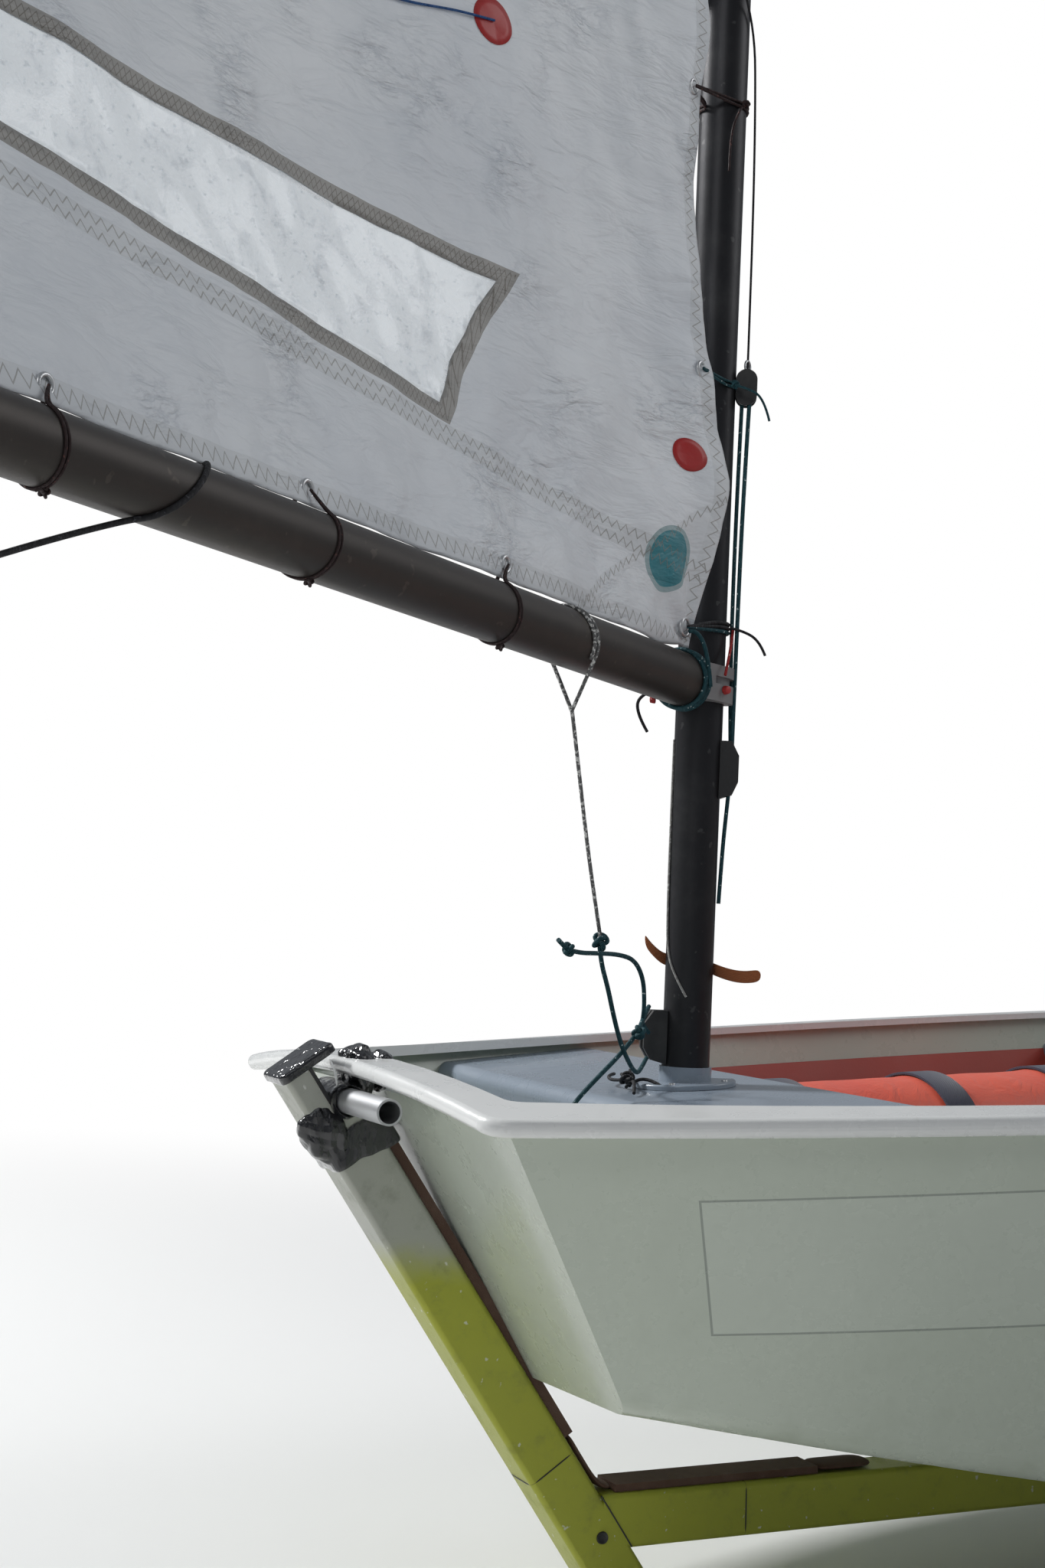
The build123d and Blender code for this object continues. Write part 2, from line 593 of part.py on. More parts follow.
make_hull_shell()
make_gunwale()
make_mast_thwart()
make_mast_collar()
make_mast_step()
make_mid_frame()
make_mid_thwart()
make_daggerboard_case()
make_bags()
make_toe_straps()
make_sheet_block()
make_gudgeons()
make_mast()
make_boom()
make_boom_jaw()
make_cleats()
make_sail()
make_sprit()
make_dolly_frame()
make_handle()
make_hook()
make_axle()
for label, way in SIDES.items():
    make_wheel(label, way)
make_cradles()
make_pads()

for name, shape in made.items():
    shape = to_frame() * shape
    export_step(shape, f"parts/{name}.step")
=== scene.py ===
import bmesh
import bpy
import math
from mathutils import Matrix, Vector, noise


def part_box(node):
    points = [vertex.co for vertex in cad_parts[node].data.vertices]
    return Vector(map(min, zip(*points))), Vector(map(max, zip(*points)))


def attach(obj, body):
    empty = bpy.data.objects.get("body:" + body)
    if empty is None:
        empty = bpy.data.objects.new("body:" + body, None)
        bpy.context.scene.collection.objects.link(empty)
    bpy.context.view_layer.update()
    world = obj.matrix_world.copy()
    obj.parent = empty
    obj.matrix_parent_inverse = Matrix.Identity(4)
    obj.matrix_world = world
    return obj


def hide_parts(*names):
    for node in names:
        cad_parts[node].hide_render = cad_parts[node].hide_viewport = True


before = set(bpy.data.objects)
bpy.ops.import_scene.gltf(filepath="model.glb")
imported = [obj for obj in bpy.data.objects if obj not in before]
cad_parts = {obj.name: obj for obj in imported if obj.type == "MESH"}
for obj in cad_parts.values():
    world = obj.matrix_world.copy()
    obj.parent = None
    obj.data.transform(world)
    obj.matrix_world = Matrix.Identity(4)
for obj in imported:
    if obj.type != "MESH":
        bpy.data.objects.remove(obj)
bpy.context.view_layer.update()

# the boat stands bow-down on its dolly, and hull places are turned by this
hull = {"trim": 5.0, "originX": 1.84127, "originY": 0.33212, "footX": 2.072, "footZ": -0.070}
trim = math.radians(hull["trim"])
lift = hull["footX"] * math.sin(trim) - hull["footZ"] * math.cos(trim)
hullFrame = Matrix.Translation((-hull["originX"], -hull["originY"], lift)) @ Matrix.Rotation(trim, 4, "Y")
mastFrame = hullFrame @ Matrix.Translation((1.969, 0, 0.398)) @ Matrix.Rotation(math.radians(-3.8), 4, "Y")
rigFrame = mastFrame @ Matrix.Rotation(math.radians(36), 4, "Z")  # x runs out below the sail's foot
boomFrame = rigFrame @ Matrix.Translation((0, 0, 0.377)) @ Matrix.Rotation(math.radians(-3.1), 4, "Y")
beamFrame = hullFrame @ Matrix.Translation((2.062, 0, 0.035)) @ Matrix.Rotation(-0.0454, 4, "Y")
armFrame = hullFrame @ Matrix.Translation((2.104, 0, 0.035)) @ Matrix.Rotation(math.radians(31), 4, "Y")

view = {"place": (2.978, 1.919, 0.6305), "turn": -113.84, "climb": 1.42, "roll": -0.99, "lens": 52.72}


def makeCamera():
    turn, climb, roll = (math.radians(view[key]) for key in ("turn", "climb", "roll"))
    ahead = Vector((math.cos(turn) * math.cos(climb), math.sin(turn) * math.cos(climb), math.sin(climb)))
    right = Vector((math.sin(turn), -math.cos(turn), 0))
    up = right.cross(ahead)
    across = right * math.cos(roll) + up * math.sin(roll)
    upward = up * math.cos(roll) - right * math.sin(roll)
    frameOf = Matrix((across, upward, -ahead)).transposed().to_4x4()
    camera = bpy.data.objects.new("camera", bpy.data.cameras.new("camera"))
    camera.data.lens = view["lens"]
    camera.data.sensor_width = 36
    camera.matrix_world = hullFrame @ Matrix.Translation(view["place"]) @ frameOf
    bpy.context.collection.objects.link(camera)
    bpy.context.scene.camera = camera


makeCamera()
print("camera set")


class Value:
    # a shader socket that can be used in sums
    def __init__(self, finish, socket):
        self.finish = finish
        self.socket = socket

    def math(self, operation, *values):
        return self.finish.node("ShaderNodeMath", {"operation": operation}, values)

    def __radd__(self, other):
        return self.math("ADD", other, self)

    def __rsub__(self, other):
        return self.math("SUBTRACT", other, self)

    def __rmul__(self, other):
        return self.math("MULTIPLY", other, self)


def withOne(operation):
    return lambda self: self.math(operation, self)


def withTwo(operation):
    return lambda self, other: self.math(operation, self, other)


for method, operation in (("__abs__", "ABSOLUTE"), ("part", "FRACT"), ("sine", "SINE"), ("root", "SQRT")):
    setattr(Value, method, withOne(operation))
for method, operation in (("__add__", "ADD"), ("__sub__", "SUBTRACT"), ("__mul__", "MULTIPLY"),
                          ("__truediv__", "DIVIDE"), ("__lt__", "LESS_THAN"), ("__gt__", "GREATER_THAN"),
                          ("least", "MINIMUM"), ("most", "MAXIMUM")):
    setattr(Value, method, withTwo(operation))


class Finish:
    # one material, with its nodes made through one method
    def __init__(self, name, colour, roughness, metallic=0.0, **sockets):
        self.material = bpy.data.materials.new(name)
        self.material.use_nodes = True
        self.tree = self.material.node_tree
        self.shader = self.tree.nodes["Principled BSDF"]
        self.set("Base Color", (*colour, 1))
        self.set("Roughness", roughness)
        self.set("Metallic", metallic)
        for key, value in sockets.items():
            self.set(key.replace("_", " "), value)
        self.material.diffuse_color = (*colour, 1)

    def set(self, key, value):
        if isinstance(value, Value):
            self.tree.links.new(value.socket, self.shader.inputs[key])
        else:
            self.shader.inputs[key].default_value = value

    def node(self, kind, settings=None, values=(), out=0):
        made = self.tree.nodes.new(kind)
        for key, value in (settings or {}).items():
            setattr(made, key, value)
        pairs = values.items() if isinstance(values, dict) else enumerate(values)
        for key, value in pairs:
            if isinstance(value, Value):
                self.tree.links.new(value.socket, made.inputs[key])
            else:
                made.inputs[key].default_value = value
        return Value(self, made.outputs[out])

    def place(self, scale=(1, 1, 1), turn=(0, 0, 0)):
        where = self.node("ShaderNodeTexCoord", out=3)
        return self.node("ShaderNodeMapping", {}, {"Vector": where, "Scale": scale, "Rotation": turn})

    def onHull(self):
        # object places turned back level with the hull
        where = self.node("ShaderNodeTexCoord", out=3)
        back = hullFrame.inverted()
        turned = self.node("ShaderNodeMapping", {"vector_type": "POINT"},
                           {"Vector": where, "Rotation": (0, -trim, 0), "Location": back.translation})
        return self.axes(turned)

    def axes(self, vector):
        node = self.node("ShaderNodeSeparateXYZ", {}, [vector]).socket.node
        return [Value(self, node.outputs[index]) for index in range(3)]

    def noise(self, scale, detail=3.0, rough=0.5, where=None, spread=0.0):
        where = where or self.place()
        return self.node("ShaderNodeTexNoise", {}, {"Vector": where, "Scale": scale, "Detail": detail,
                                                    "Roughness": rough, "Distortion": spread})

    def cells(self, scale, where):
        return self.node("ShaderNodeTexVoronoi", {"feature": "F1"}, {"Vector": where, "Scale": scale})

    def ramp(self, value, low, high):
        # nought below low, one above high
        return self.node("ShaderNodeMapRange", {"interpolation_type": "SMOOTHSTEP"},
                         {0: value, 1: low, 2: high, 3: 0.0, 4: 1.0})

    def mix(self, share, first, second):
        first, second = (value if isinstance(value, Value) else (*value, 1) for value in (first, second))
        return self.node("ShaderNodeMix", {"data_type": "RGBA"}, {0: share, 6: first, 7: second}, out=2)

    def bump(self, height, strength, distance):
        normal = self.node("ShaderNodeBump", {}, {"Height": height, "Strength": strength, "Distance": distance})
        self.set("Normal", normal)


def gelcoat(name, colour, dirt, panel=None):
    finish = Finish(name, colour, 0.3, Coat_Weight=0.35, Coat_Roughness=0.08)
    clouds = finish.noise(3.0, 4.0)
    grime = finish.noise(18.0, 5.0, 0.65)
    specks = finish.ramp(finish.noise(160.0, 2.0), 0.68, 0.74)
    scratch = finish.noise(60.0, 2.0, 0.5, finish.place((1.5, 1.5, 22.0), (0.3, 0.2, 0.1)))
    scuffs = finish.ramp(scratch, 0.66, 0.74) * finish.ramp(clouds, 0.45, 0.6)
    along, across, high = finish.onHull()
    low = 1 - finish.ramp(high, 0.02, 0.30)
    soil = finish.ramp(grime, 0.45, 0.75) * (low * 0.30 + 0.04) + specks * 0.12 + scuffs * 0.07
    surface = finish.mix(soil, colour, dirt)
    if panel:
        # a plain see-through decal, left without any words
        rise = high - panel["z"]
        rim = (abs(along - rise * panel["lean"] - panel["x"]) - panel["long"]).most(abs(rise) - panel["high"])
        near = across > 0.2
        surface = finish.mix((rim < 0) * near * 0.45, surface, panel["colour"])
        surface = finish.mix((abs(rim) < 0.0009) * near * 0.55, surface, panel["edge"])
    finish.set("Base Color", surface)
    finish.set("Roughness", 0.26 + 0.12 * finish.ramp(grime, 0.4, 0.7) + scuffs * 0.1)
    finish.bump(clouds, 0.03, 0.004)
    return finish.material


def anodised(name, colour, roughness, metallic, wear, stretch):
    finish = Finish(name, colour, roughness, metallic)
    brushed = finish.noise(140.0, 3.0, 0.6, finish.place(stretch))
    patches = finish.noise(9.0, 5.0, 0.65)
    nicks = finish.ramp(finish.noise(85.0, 2.0), 0.68, 0.73)
    wearAndShade = finish.ramp(patches, 0.5, 0.78) * 0.35 + nicks * 0.5
    finish.set("Base Color", finish.mix(wearAndShade, colour, wear))
    finish.set("Roughness", roughness - 0.06 + 0.16 * brushed + 0.12 * patches)
    finish.bump(brushed, 0.08, 0.002)
    return finish.material


def tintedBeam(name, fade=None):
    # yellow-green anodising, bleached grey towards the top of the arm
    tint = (0.40, 0.42, 0.045)
    finish = Finish(name, tint, 0.36, 0.35)
    drawn = finish.noise(90.0, 3.0, 0.6, finish.place((1, 16, 1), (0, -0.54, 0)))
    clouds = finish.noise(11.0, 5.0, 0.6)
    soil = finish.ramp(finish.noise(36.0, 6.0, 0.7), 0.5, 0.75)
    surface = finish.mix(clouds * 0.4, tint, (0.30, 0.34, 0.07))
    if fade:
        _, _, high = finish.axes(finish.place())
        bleached = finish.ramp(high + clouds * 0.05, fade["low"], fade["high"])
        surface = finish.mix(bleached, surface, (0.40, 0.41, 0.36))
    surface = finish.mix(soil * 0.3, surface, (0.11, 0.12, 0.06))
    nicks = finish.ramp(finish.noise(120.0, 2.0), 0.69, 0.74)
    finish.set("Base Color", finish.mix(nicks * 0.6, surface, (0.75, 0.76, 0.72)))
    finish.set("Roughness", 0.28 + 0.2 * drawn + soil * 0.15)
    finish.bump(drawn + clouds * 0.3, 0.1, 0.002)
    return finish.material


def moulded(name, colour, roughness, dusty=0.12):
    finish = Finish(name, colour, roughness)
    grains = finish.noise(260.0, 3.0, 0.6)
    clouds = finish.noise(14.0, 5.0, 0.6)
    finish.set("Base Color", finish.mix(finish.ramp(clouds, 0.45, 0.8) * dusty, colour, (0.35, 0.34, 0.3)))
    finish.set("Roughness", roughness - 0.08 + 0.2 * clouds)
    finish.bump(grains, 0.15, 0.0008)
    return finish.material


def rubberStrip(name, colour):
    finish = Finish(name, colour, 0.75)
    grooves = finish.noise(70.0, 2.0, 0.5, finish.place((14, 1, 14)))
    clouds = finish.noise(16.0, 5.0, 0.65)
    finish.set("Base Color", finish.mix(finish.ramp(clouds, 0.4, 0.8) * 0.5, colour, (0.19, 0.13, 0.1)))
    finish.set("Roughness", 0.62 + 0.25 * clouds)
    finish.bump(grooves + clouds, 0.3, 0.0015)
    return finish.material


def crinkledTape(name, colour):
    finish = Finish(name, colour, 0.2, Coat_Weight=0.9, Coat_Roughness=0.07)
    drawn = finish.place((1.0, 1.0, 0.40), (0.4, 0.5, 0.2))
    fine = finish.noise(210.0, 3.0, 0.6, drawn, 0.6)
    dust = finish.ramp(finish.noise(120.0, 4.0, 0.7), 0.64, 0.76)
    finish.set("Base Color", finish.mix(dust * 0.22, colour, (0.16, 0.16, 0.16)))
    finish.set("Roughness", 0.08 + 0.14 * fine)
    finish.bump(finish.cells(85.0, drawn) + finish.cells(210.0, drawn) * 0.4 + fine * 0.06, 0.8, 0.0034)
    return finish.material


def ropeFinish(name, ground, fleck, share):
    finish = Finish(name, ground, 0.7)
    strands = finish.cells(420.0, finish.place((1, 1, 0.55), (0.5, 0.4, 0)))
    speck = finish.ramp(finish.noise(315.0, 2.0), 1 - share, 1.03 - share)
    shade = finish.mix(strands * 0.8, ground, tuple(part * 0.45 for part in ground))
    finish.set("Base Color", finish.mix(speck, shade, fleck))
    finish.set("Roughness", 0.6 + 0.3 * strands)
    finish.bump(1 - strands, 0.5, 0.0008)
    return finish.material


def fabric(name, colour, thread, scale):
    finish = Finish(name, colour, 0.8, Sheen_Weight=0.3, Sheen_Roughness=0.5)
    x, y, z = finish.axes(finish.place())
    weave = ((x + y * 0.7) * scale).sine() * ((z - y * 0.4) * scale).sine()
    clouds = finish.noise(12.0, 5.0, 0.6)
    finish.set("Base Color", finish.mix(finish.ramp(clouds, 0.35, 0.8) * 0.25 + weave * 0.06, colour, thread))
    finish.set("Roughness", 0.68 + 0.2 * clouds)
    finish.bump(weave * 0.5 + clouds * 0.6, 0.3, 0.0012)
    return finish.material


def coatedBag(name, colour, faded):
    finish = Finish(name, colour, 0.45, Sheen_Weight=0.15)
    creases = finish.noise(24.0, 4.0, 0.6, spread=0.9)
    fine = finish.noise(330.0, 2.0, 0.5)
    clouds = finish.noise(7.0, 4.0, 0.6)
    finish.set("Base Color", finish.mix(finish.ramp(clouds, 0.35, 0.75) * 0.5, colour, faded))
    finish.set("Roughness", 0.35 + 0.25 * clouds)
    finish.bump(abs(creases - 0.5) * 1.6 + fine * 0.12, 0.45, 0.004)
    return finish.material


def tyreRubber(name, colour):
    finish = Finish(name, colour, 0.85)
    dust = finish.ramp(finish.noise(22.0, 6.0, 0.7), 0.42, 0.75)
    finish.set("Base Color", finish.mix(dust * 0.4, colour, (0.13, 0.12, 0.10)))
    finish.set("Roughness", 0.72 + 0.2 * dust)
    finish.bump(finish.noise(240.0, 3.0), 0.2, 0.001)
    return finish.material


cloth = {"white": (0.84, 0.87, 0.90), "shade": (0.68, 0.72, 0.78), "beige": (0.30, 0.285, 0.26),
         "thread": (0.24, 0.22, 0.19), "seamSlope": 0.154, "teal": (0.02, 0.22, 0.27)}
# places on the cut of the sail, across from the mast and up from the thwart
cut = {"tack": (0.046, 0.421), "clew": (2.034, 0.523), "peak": (0.873, 3.053), "throat": (0.046, 2.141)}
pane = {"corners": ((0.295, 0.700), (0.408, 0.549), (1.080, 0.672), (1.100, 0.774)), "border": 0.0150}
seal = {"x": 0.103, "z": 0.490, "wide": 0.0335, "high": 0.0280}
spots = {"lower": (0.082, 0.586, 0.0150), "upper": (0.304, 0.926, 0.0210)}


def edgesOf(corners):
    return list(zip(corners, corners[1:] + corners[:1]))


def edgeDistance(x, z, start, end):
    # how far a place is to the left of the line from start to end
    run = (Vector(end) - Vector(start)).normalized()
    return (z - start[1]) * run.x - (x - start[0]) * run.y


def zigzag(along, across, pitch, swing):
    # a row of slanting stitches about the line where across is nought
    wave = abs((along / pitch).part() - 0.5) * 4 - 1
    return abs(across - wave * swing) < 0.0008


def sailShader():
    finish = Finish("sail cloth", cloth["white"], 0.5, Sheen_Weight=0.1)
    seen = finish.node("ShaderNodeUVMap", {"uv_map": "seen"})
    flat = finish.node("ShaderNodeUVMap", {"uv_map": "cut"})
    x, z, _ = finish.axes(seen)
    cutX, cutZ, _ = finish.axes(flat)
    wearAndShade = finish.noise(4.0, 3.0, 0.5, flat)
    wrinkled = finish.node("ShaderNodeMapping", {}, {"Vector": flat, "Scale": (0.55, 1.6, 1.0), "Rotation": (0, 0, 0.12)})
    crease = finish.noise(24.0, 4.0, 0.55, wrinkled, 0.4)
    small = finish.noise(70.0, 3.0, 0.6, wrinkled, 0.8)
    crumpled = finish.ramp(finish.noise(9.0, 3.0, 0.5, flat), 0.5, 0.72)
    stitches = 0.0
    tapes = 0.0
    # the lowest panel seam rises slowly from the luff, and the others lie above it
    slope = math.atan(cloth["seamSlope"])
    for start, turn in (((0.186, 0.503), slope), ((0.046, 1.18), slope * 0.7), ((0.046, 1.80), 0.05)):
        across = (z - start[1]) * math.cos(turn) - (x - start[0]) * math.sin(turn)
        along = (x - start[0]) * math.cos(turn) + (z - start[1]) * math.sin(turn)
        tapes = tapes + (abs(across) < 0.010)
        for aside in (0.0055, -0.0055):
            stitches = stitches + zigzag(along, across - aside, 0.011, 0.0035)
    # the edges of the tack patch
    for start, end in (((0.046, 0.557), (0.142, 0.491)), ((0.142, 0.491), (0.290, 0.415))):
        across = edgeDistance(x, z, start, end)
        inside = (x > start[0]) * (x < end[0])
        tapes = tapes + (across < 0) * inside * 0.5
        stitches = stitches + zigzag(x * 1.2, across + 0.004, 0.010, 0.003) * inside
    # tapes along the foot, the leech, the head and the luff
    for start, end in edgesOf(list(cut.values())):
        across = edgeDistance(cutX, cutZ, start, end)
        run = (Vector(end) - Vector(start)).normalized()
        tapes = tapes + (across < 0.016) * 1.4
        stitches = stitches + zigzag(cutX * run.x + cutZ * run.y, across - 0.009, 0.012, 0.0045)
    # the window's border, with crossed stitches
    around = None
    for start, end in edgesOf(pane["corners"]):
        across = edgeDistance(x, z, start, end)
        around = across if around is None else around.least(across)
    border = (around > -0.0005) * (around < pane["border"] + 0.002)
    crossed = 0.0
    for shift in (0, 0.0065):
        crossed = crossed + zigzag(x + z * 0.4 + shift, around - 0.0075, 0.013, 0.0055)
    # a plain round button without any words
    out = (x - seal["x"]) / seal["wide"]
    up = (z - seal["z"]) / seal["high"]
    ring = out * out + up * up
    surface = cloth["white"]
    # painted shade: soft patches of the shade colour laid over the white cloth
    for share, colour in ((finish.ramp(wearAndShade, 0.3, 0.75) * 0.6, cloth["shade"]),
                          # painted shade in dark lines along the creases, and painted highlight in pale bands beside
                          # them
                          (finish.ramp(abs(small - 0.5), 0.03, 0.0) * crumpled * 0.4, (0.40, 0.44, 0.50)),
                          (finish.ramp(abs(crease - 0.5), 0.035, 0.0) * (0.06 + crumpled * 0.34), (0.44, 0.48, 0.55)),
                          (finish.ramp(abs(crease - 0.5), 0.06, 0.16) * (0.05 + crumpled * 0.25), (0.90, 0.92, 0.94)),
                          (finish.ramp(tapes, 0.0, 0.9) * 0.4, (0.60, 0.62, 0.63)),
                          ((ring < 1.0) * 0.92, (0.30, 0.42, 0.44)),
                          ((ring < 0.72) * 0.95, cloth["teal"]),
                          (border * 0.9, cloth["beige"]),
                          (stitches.least(1.0) * 0.6, cloth["thread"]),
                          (crossed.least(1.0) * border * 0.75, (0.14, 0.125, 0.105))):
        surface = finish.mix(share, surface, colour)
    finish.set("Base Color", surface)
    finish.set("Roughness", 0.40 + 0.2 * wearAndShade)
    raised = finish.ramp(tapes, 0.0, 0.5) * 0.30 + border * 0.4 + stitches * 0.08
    finish.bump(abs(crease - 0.5) * (0.5 + crumpled) + small * crumpled * 0.35 + raised, 1.0, 0.011)
    return finish.material


def windowFilm():
    finish = Finish("window film", (0.62, 0.70, 0.76), 0.18, Alpha=0.5, Coat_Weight=0.4)
    flat = finish.node("ShaderNodeUVMap", {"uv_map": "cut"})
    smears = finish.noise(34.0, 5.0, 0.7, flat, 0.7)
    cloudy = finish.ramp(smears, 0.5, 0.75)
    specks = finish.ramp(finish.noise(150.0, 3.0, 0.6, flat), 0.6, 0.68)
    finish.set("Base Color", finish.mix(cloudy * 0.6 + specks * 0.3, (0.60, 0.69, 0.76), (0.86, 0.88, 0.90)))
    finish.set("Alpha", 0.42 + 0.25 * cloudy + specks * 0.2)
    finish.set("Roughness", 0.12 + 0.3 * smears)
    finish.bump(smears, 0.3, 0.003)
    return finish.material


hullPanel = {"x": 1.790, "z": 0.288, "long": 0.320, "high": 0.057, "lean": 0.25,
             "colour": (0.52, 0.57, 0.50), "edge": (0.10, 0.12, 0.11)}
finishes = {
    # partly painted shade: the hull's pale grey-green gelcoat is made darker and greener here, as painted shade with
    # green bounce light
    "gelcoat": gelcoat("hull gelcoat with painted shade", (0.47, 0.52, 0.44), (0.24, 0.27, 0.18), hullPanel),
    "inside": gelcoat("inner gelcoat", (0.56, 0.57, 0.56), (0.28, 0.27, 0.22)),
    "rail": gelcoat("rail gelcoat", (0.76, 0.77, 0.76), (0.36, 0.36, 0.33)),
    # painted shade: the white gelcoat of the thwarts and the mast collar is coloured a dark blue-grey, as in shade
    "shadedSeat": gelcoat("thwart gelcoat in painted shade", (0.27, 0.32, 0.38), (0.13, 0.14, 0.15)),
    "mast": anodised("graphite mast", (0.028, 0.028, 0.031), 0.30, 0.65, (0.10, 0.10, 0.10), (40, 40, 1)),
    "boom": anodised("bronze boom", (0.052, 0.045, 0.041), 0.36, 0.55, (0.11, 0.095, 0.08), (6, 6, 30)),
    "steel": anodised("stainless steel", (0.62, 0.63, 0.64), 0.28, 0.95, (0.42, 0.42, 0.42), (1, 30, 1)),
    "tube": anodised("plain aluminium", (0.52, 0.53, 0.54), 0.36, 0.9, (0.32, 0.32, 0.32), (30, 1, 30)),
    "beam": tintedBeam("tinted beam"),
    "arm": tintedBeam("bleached arm", {"low": 0.315, "high": 0.36}),
    "grey": moulded("grey nylon", (0.44, 0.45, 0.46), 0.5),
    "jaw": moulded("dark grey nylon", (0.22, 0.22, 0.225), 0.5),
    # painted bounce light: a dark red standing for the orange bags' glow on the inner topsides
    "bagGlow": moulded("painted bag glow", (0.40, 0.065, 0.045), 0.35, 0.05),
    "line": ropeFinish("pale line", (0.42, 0.41, 0.39), (0.6, 0.6, 0.58), 0.4),
    "black": moulded("black plastic", (0.018, 0.018, 0.019), 0.45),
    "rim": moulded("wheel plastic", (0.55, 0.56, 0.56), 0.5),
    "strip": rubberStrip("brown rubber strip", (0.085, 0.042, 0.026)),
    "tape": crinkledTape("crinkled black tape", (0.006, 0.006, 0.008)),
    "rope": ropeFinish("blue-green rope", (0.004, 0.062, 0.078), (0.50, 0.60, 0.60), 0.32),
    "strop": ropeFinish("grey strop", (0.16, 0.16, 0.16), (0.60, 0.60, 0.58), 0.46),
    "tie": ropeFinish("dark red tie", (0.026, 0.010, 0.010), (0.09, 0.035, 0.03), 0.36),
    "darkTie": ropeFinish("black line", (0.012, 0.012, 0.015), (0.05, 0.05, 0.06), 0.36),
    "redCord": ropeFinish("red cord", (0.45, 0.02, 0.02), (0.7, 0.3, 0.25), 0.36),
    "ribbon": fabric("orange-brown tape", (0.42, 0.13, 0.04), (0.28, 0.08, 0.03), 2600.0),
    "webbing": fabric("navy webbing", (0.018, 0.022, 0.05), (0.05, 0.05, 0.08), 2100.0),
    "bag": coatedBag("orange coated bag", (0.78, 0.10, 0.045), (0.60, 0.05, 0.03)),
    "tyre": tyreRubber("tyre rubber", (0.018, 0.018, 0.018)),
    "plug": moulded("red plug", (0.45, 0.02, 0.02), 0.4),
    "cloth": sailShader(),
    "film": windowFilm(),
    "thread": ropeFinish("blue thread", (0.02, 0.10, 0.30), (0.1, 0.2, 0.5), 0.3),
}
nodesByFinish = {
    "gelcoat": "hull_shell", "rail": "gunwale", "shadedSeat": "mast_thwart mid_thwart mast_collar", "tube": "dolly_handle",
    "inside": "mid_frame daggerboard_case", "grey": "mast_step boom_end", "jaw": "boom_jaw", "arm": "dolly_arm",
    "steel": "gudgeon_upper gudgeon_lower axle axle_collar_port axle_collar_starboard axle_cap_port axle_cap_starboard",
    "black": "sheet_block dolly_arm_cap dolly_foot dolly_hook cradle_port cradle_starboard mast_cap vang_cleat"
             " sprit_cleat sprit_block",
    "beam": "dolly_beam dolly_elbow", "strip": "arm_pad beam_pad", "mast": "mast sprit", "boom": "boom",
    "tyre": "tyre_port tyre_starboard", "rim": "wheel_port wheel_starboard", "cloth": "sail", "film": "sail_window",
    "bag": "buoyancy_bag_port buoyancy_bag_starboard buoyancy_bag_stern",
    "webbing": "bag_straps_port bag_straps_starboard bag_straps_stern toe_straps"}
for finish, nodes in nodesByFinish.items():
    for node in nodes.split():
        solid = bpy.data.objects[node]
        solid.data.materials.clear()
        solid.data.materials.append(finishes[finish])
print("finishes made")


boat = "boat_and_dolly"


def addPiece(name, mesh, finish, body, smooth=True):
    mesh.materials.append(finishes[finish])
    if smooth:
        mesh.shade_smooth()
    piece = bpy.data.objects.new(name, mesh)
    bpy.context.collection.objects.link(piece)
    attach(piece, body)
    return piece


def fromBmesh(name, bm, place, finish, body, smooth=True, turn=True):
    bmesh.ops.transform(bm, matrix=place, verts=bm.verts)
    if turn:
        bmesh.ops.recalc_face_normals(bm, faces=bm.faces)
    mesh = bpy.data.meshes.new(name)
    bm.to_mesh(mesh)
    bm.free()
    return addPiece(name, mesh, finish, body, smooth)


def modify(piece, kind, **settings):
    made = piece.modifiers.new(kind.lower(), kind)
    for key, value in settings.items():
        setattr(made, key, value)
    return made


def applyAll(piece):
    # turns a piece's modifiers into its mesh
    graph = bpy.context.evaluated_depsgraph_get()
    graph.update()
    mesh = bpy.data.meshes.new_from_object(piece.evaluated_get(graph))
    piece.modifiers.clear()
    piece.data = mesh
    return piece


def thicken(piece, thickness, offset):
    modify(piece, "SOLIDIFY", thickness=thickness, offset=offset)
    return applyAll(piece)


def bevelAll(bm, edges, offset, segments):
    bmesh.ops.bevel(bm, geom=edges, offset=offset, segments=segments, profile=0.5, affect="EDGES", material=-1)


def polar(radius, angle, height=0.0):
    # a place about local z, with the angle in degrees
    return Vector((radius * math.cos(math.radians(angle)), radius * math.sin(math.radians(angle)), height))


def aboutX(along, radius, angle):
    return Vector((along, radius * math.cos(math.radians(angle)), radius * math.sin(math.radians(angle))))


# the sail, from luff to leech and from foot to head, in the rig's own frame
sail = {"luff": 1.720, "clew": (1.988, 0.102), "peak": (0.827, 2.632), "belly": 0.05, "headBelly": 0.002,
        "twist": -24.0, "thick": 0.0009, "columns": 180, "rows": 200}
pull = {"height": 0.556, "back": 0.022, "side": 0.0285, "reach": 0.12}  # where the luff is drawn round the mast
folds = {"fan": 0.0052, "luff": 0.004, "pitch": 0.258, "soft": 0.006, "crisp": 0.0034, "hard": 0.0072}
bends = ((0.35, 6.5), (1.25, 10.0), (2.2, 15.0), (2.9, 22.0))  # each set of hard creases: its way and its pitch
footRise = 0.0513


def flatPlace(u, p):
    # where a point of the cloth lies when the cut is laid flat, and the row's run from the luff
    leech = Vector(sail["clew"]).lerp(Vector(sail["peak"]), p)
    run = Vector((leech.x, leech.y - sail["luff"] * p))
    return Vector(cut["tack"]) + Vector((0, sail["luff"] * p)) + run * u, run


def bent(wave):
    # straight up and down between sharp turns
    return abs(2 * (wave - math.floor(wave + 0.5)))


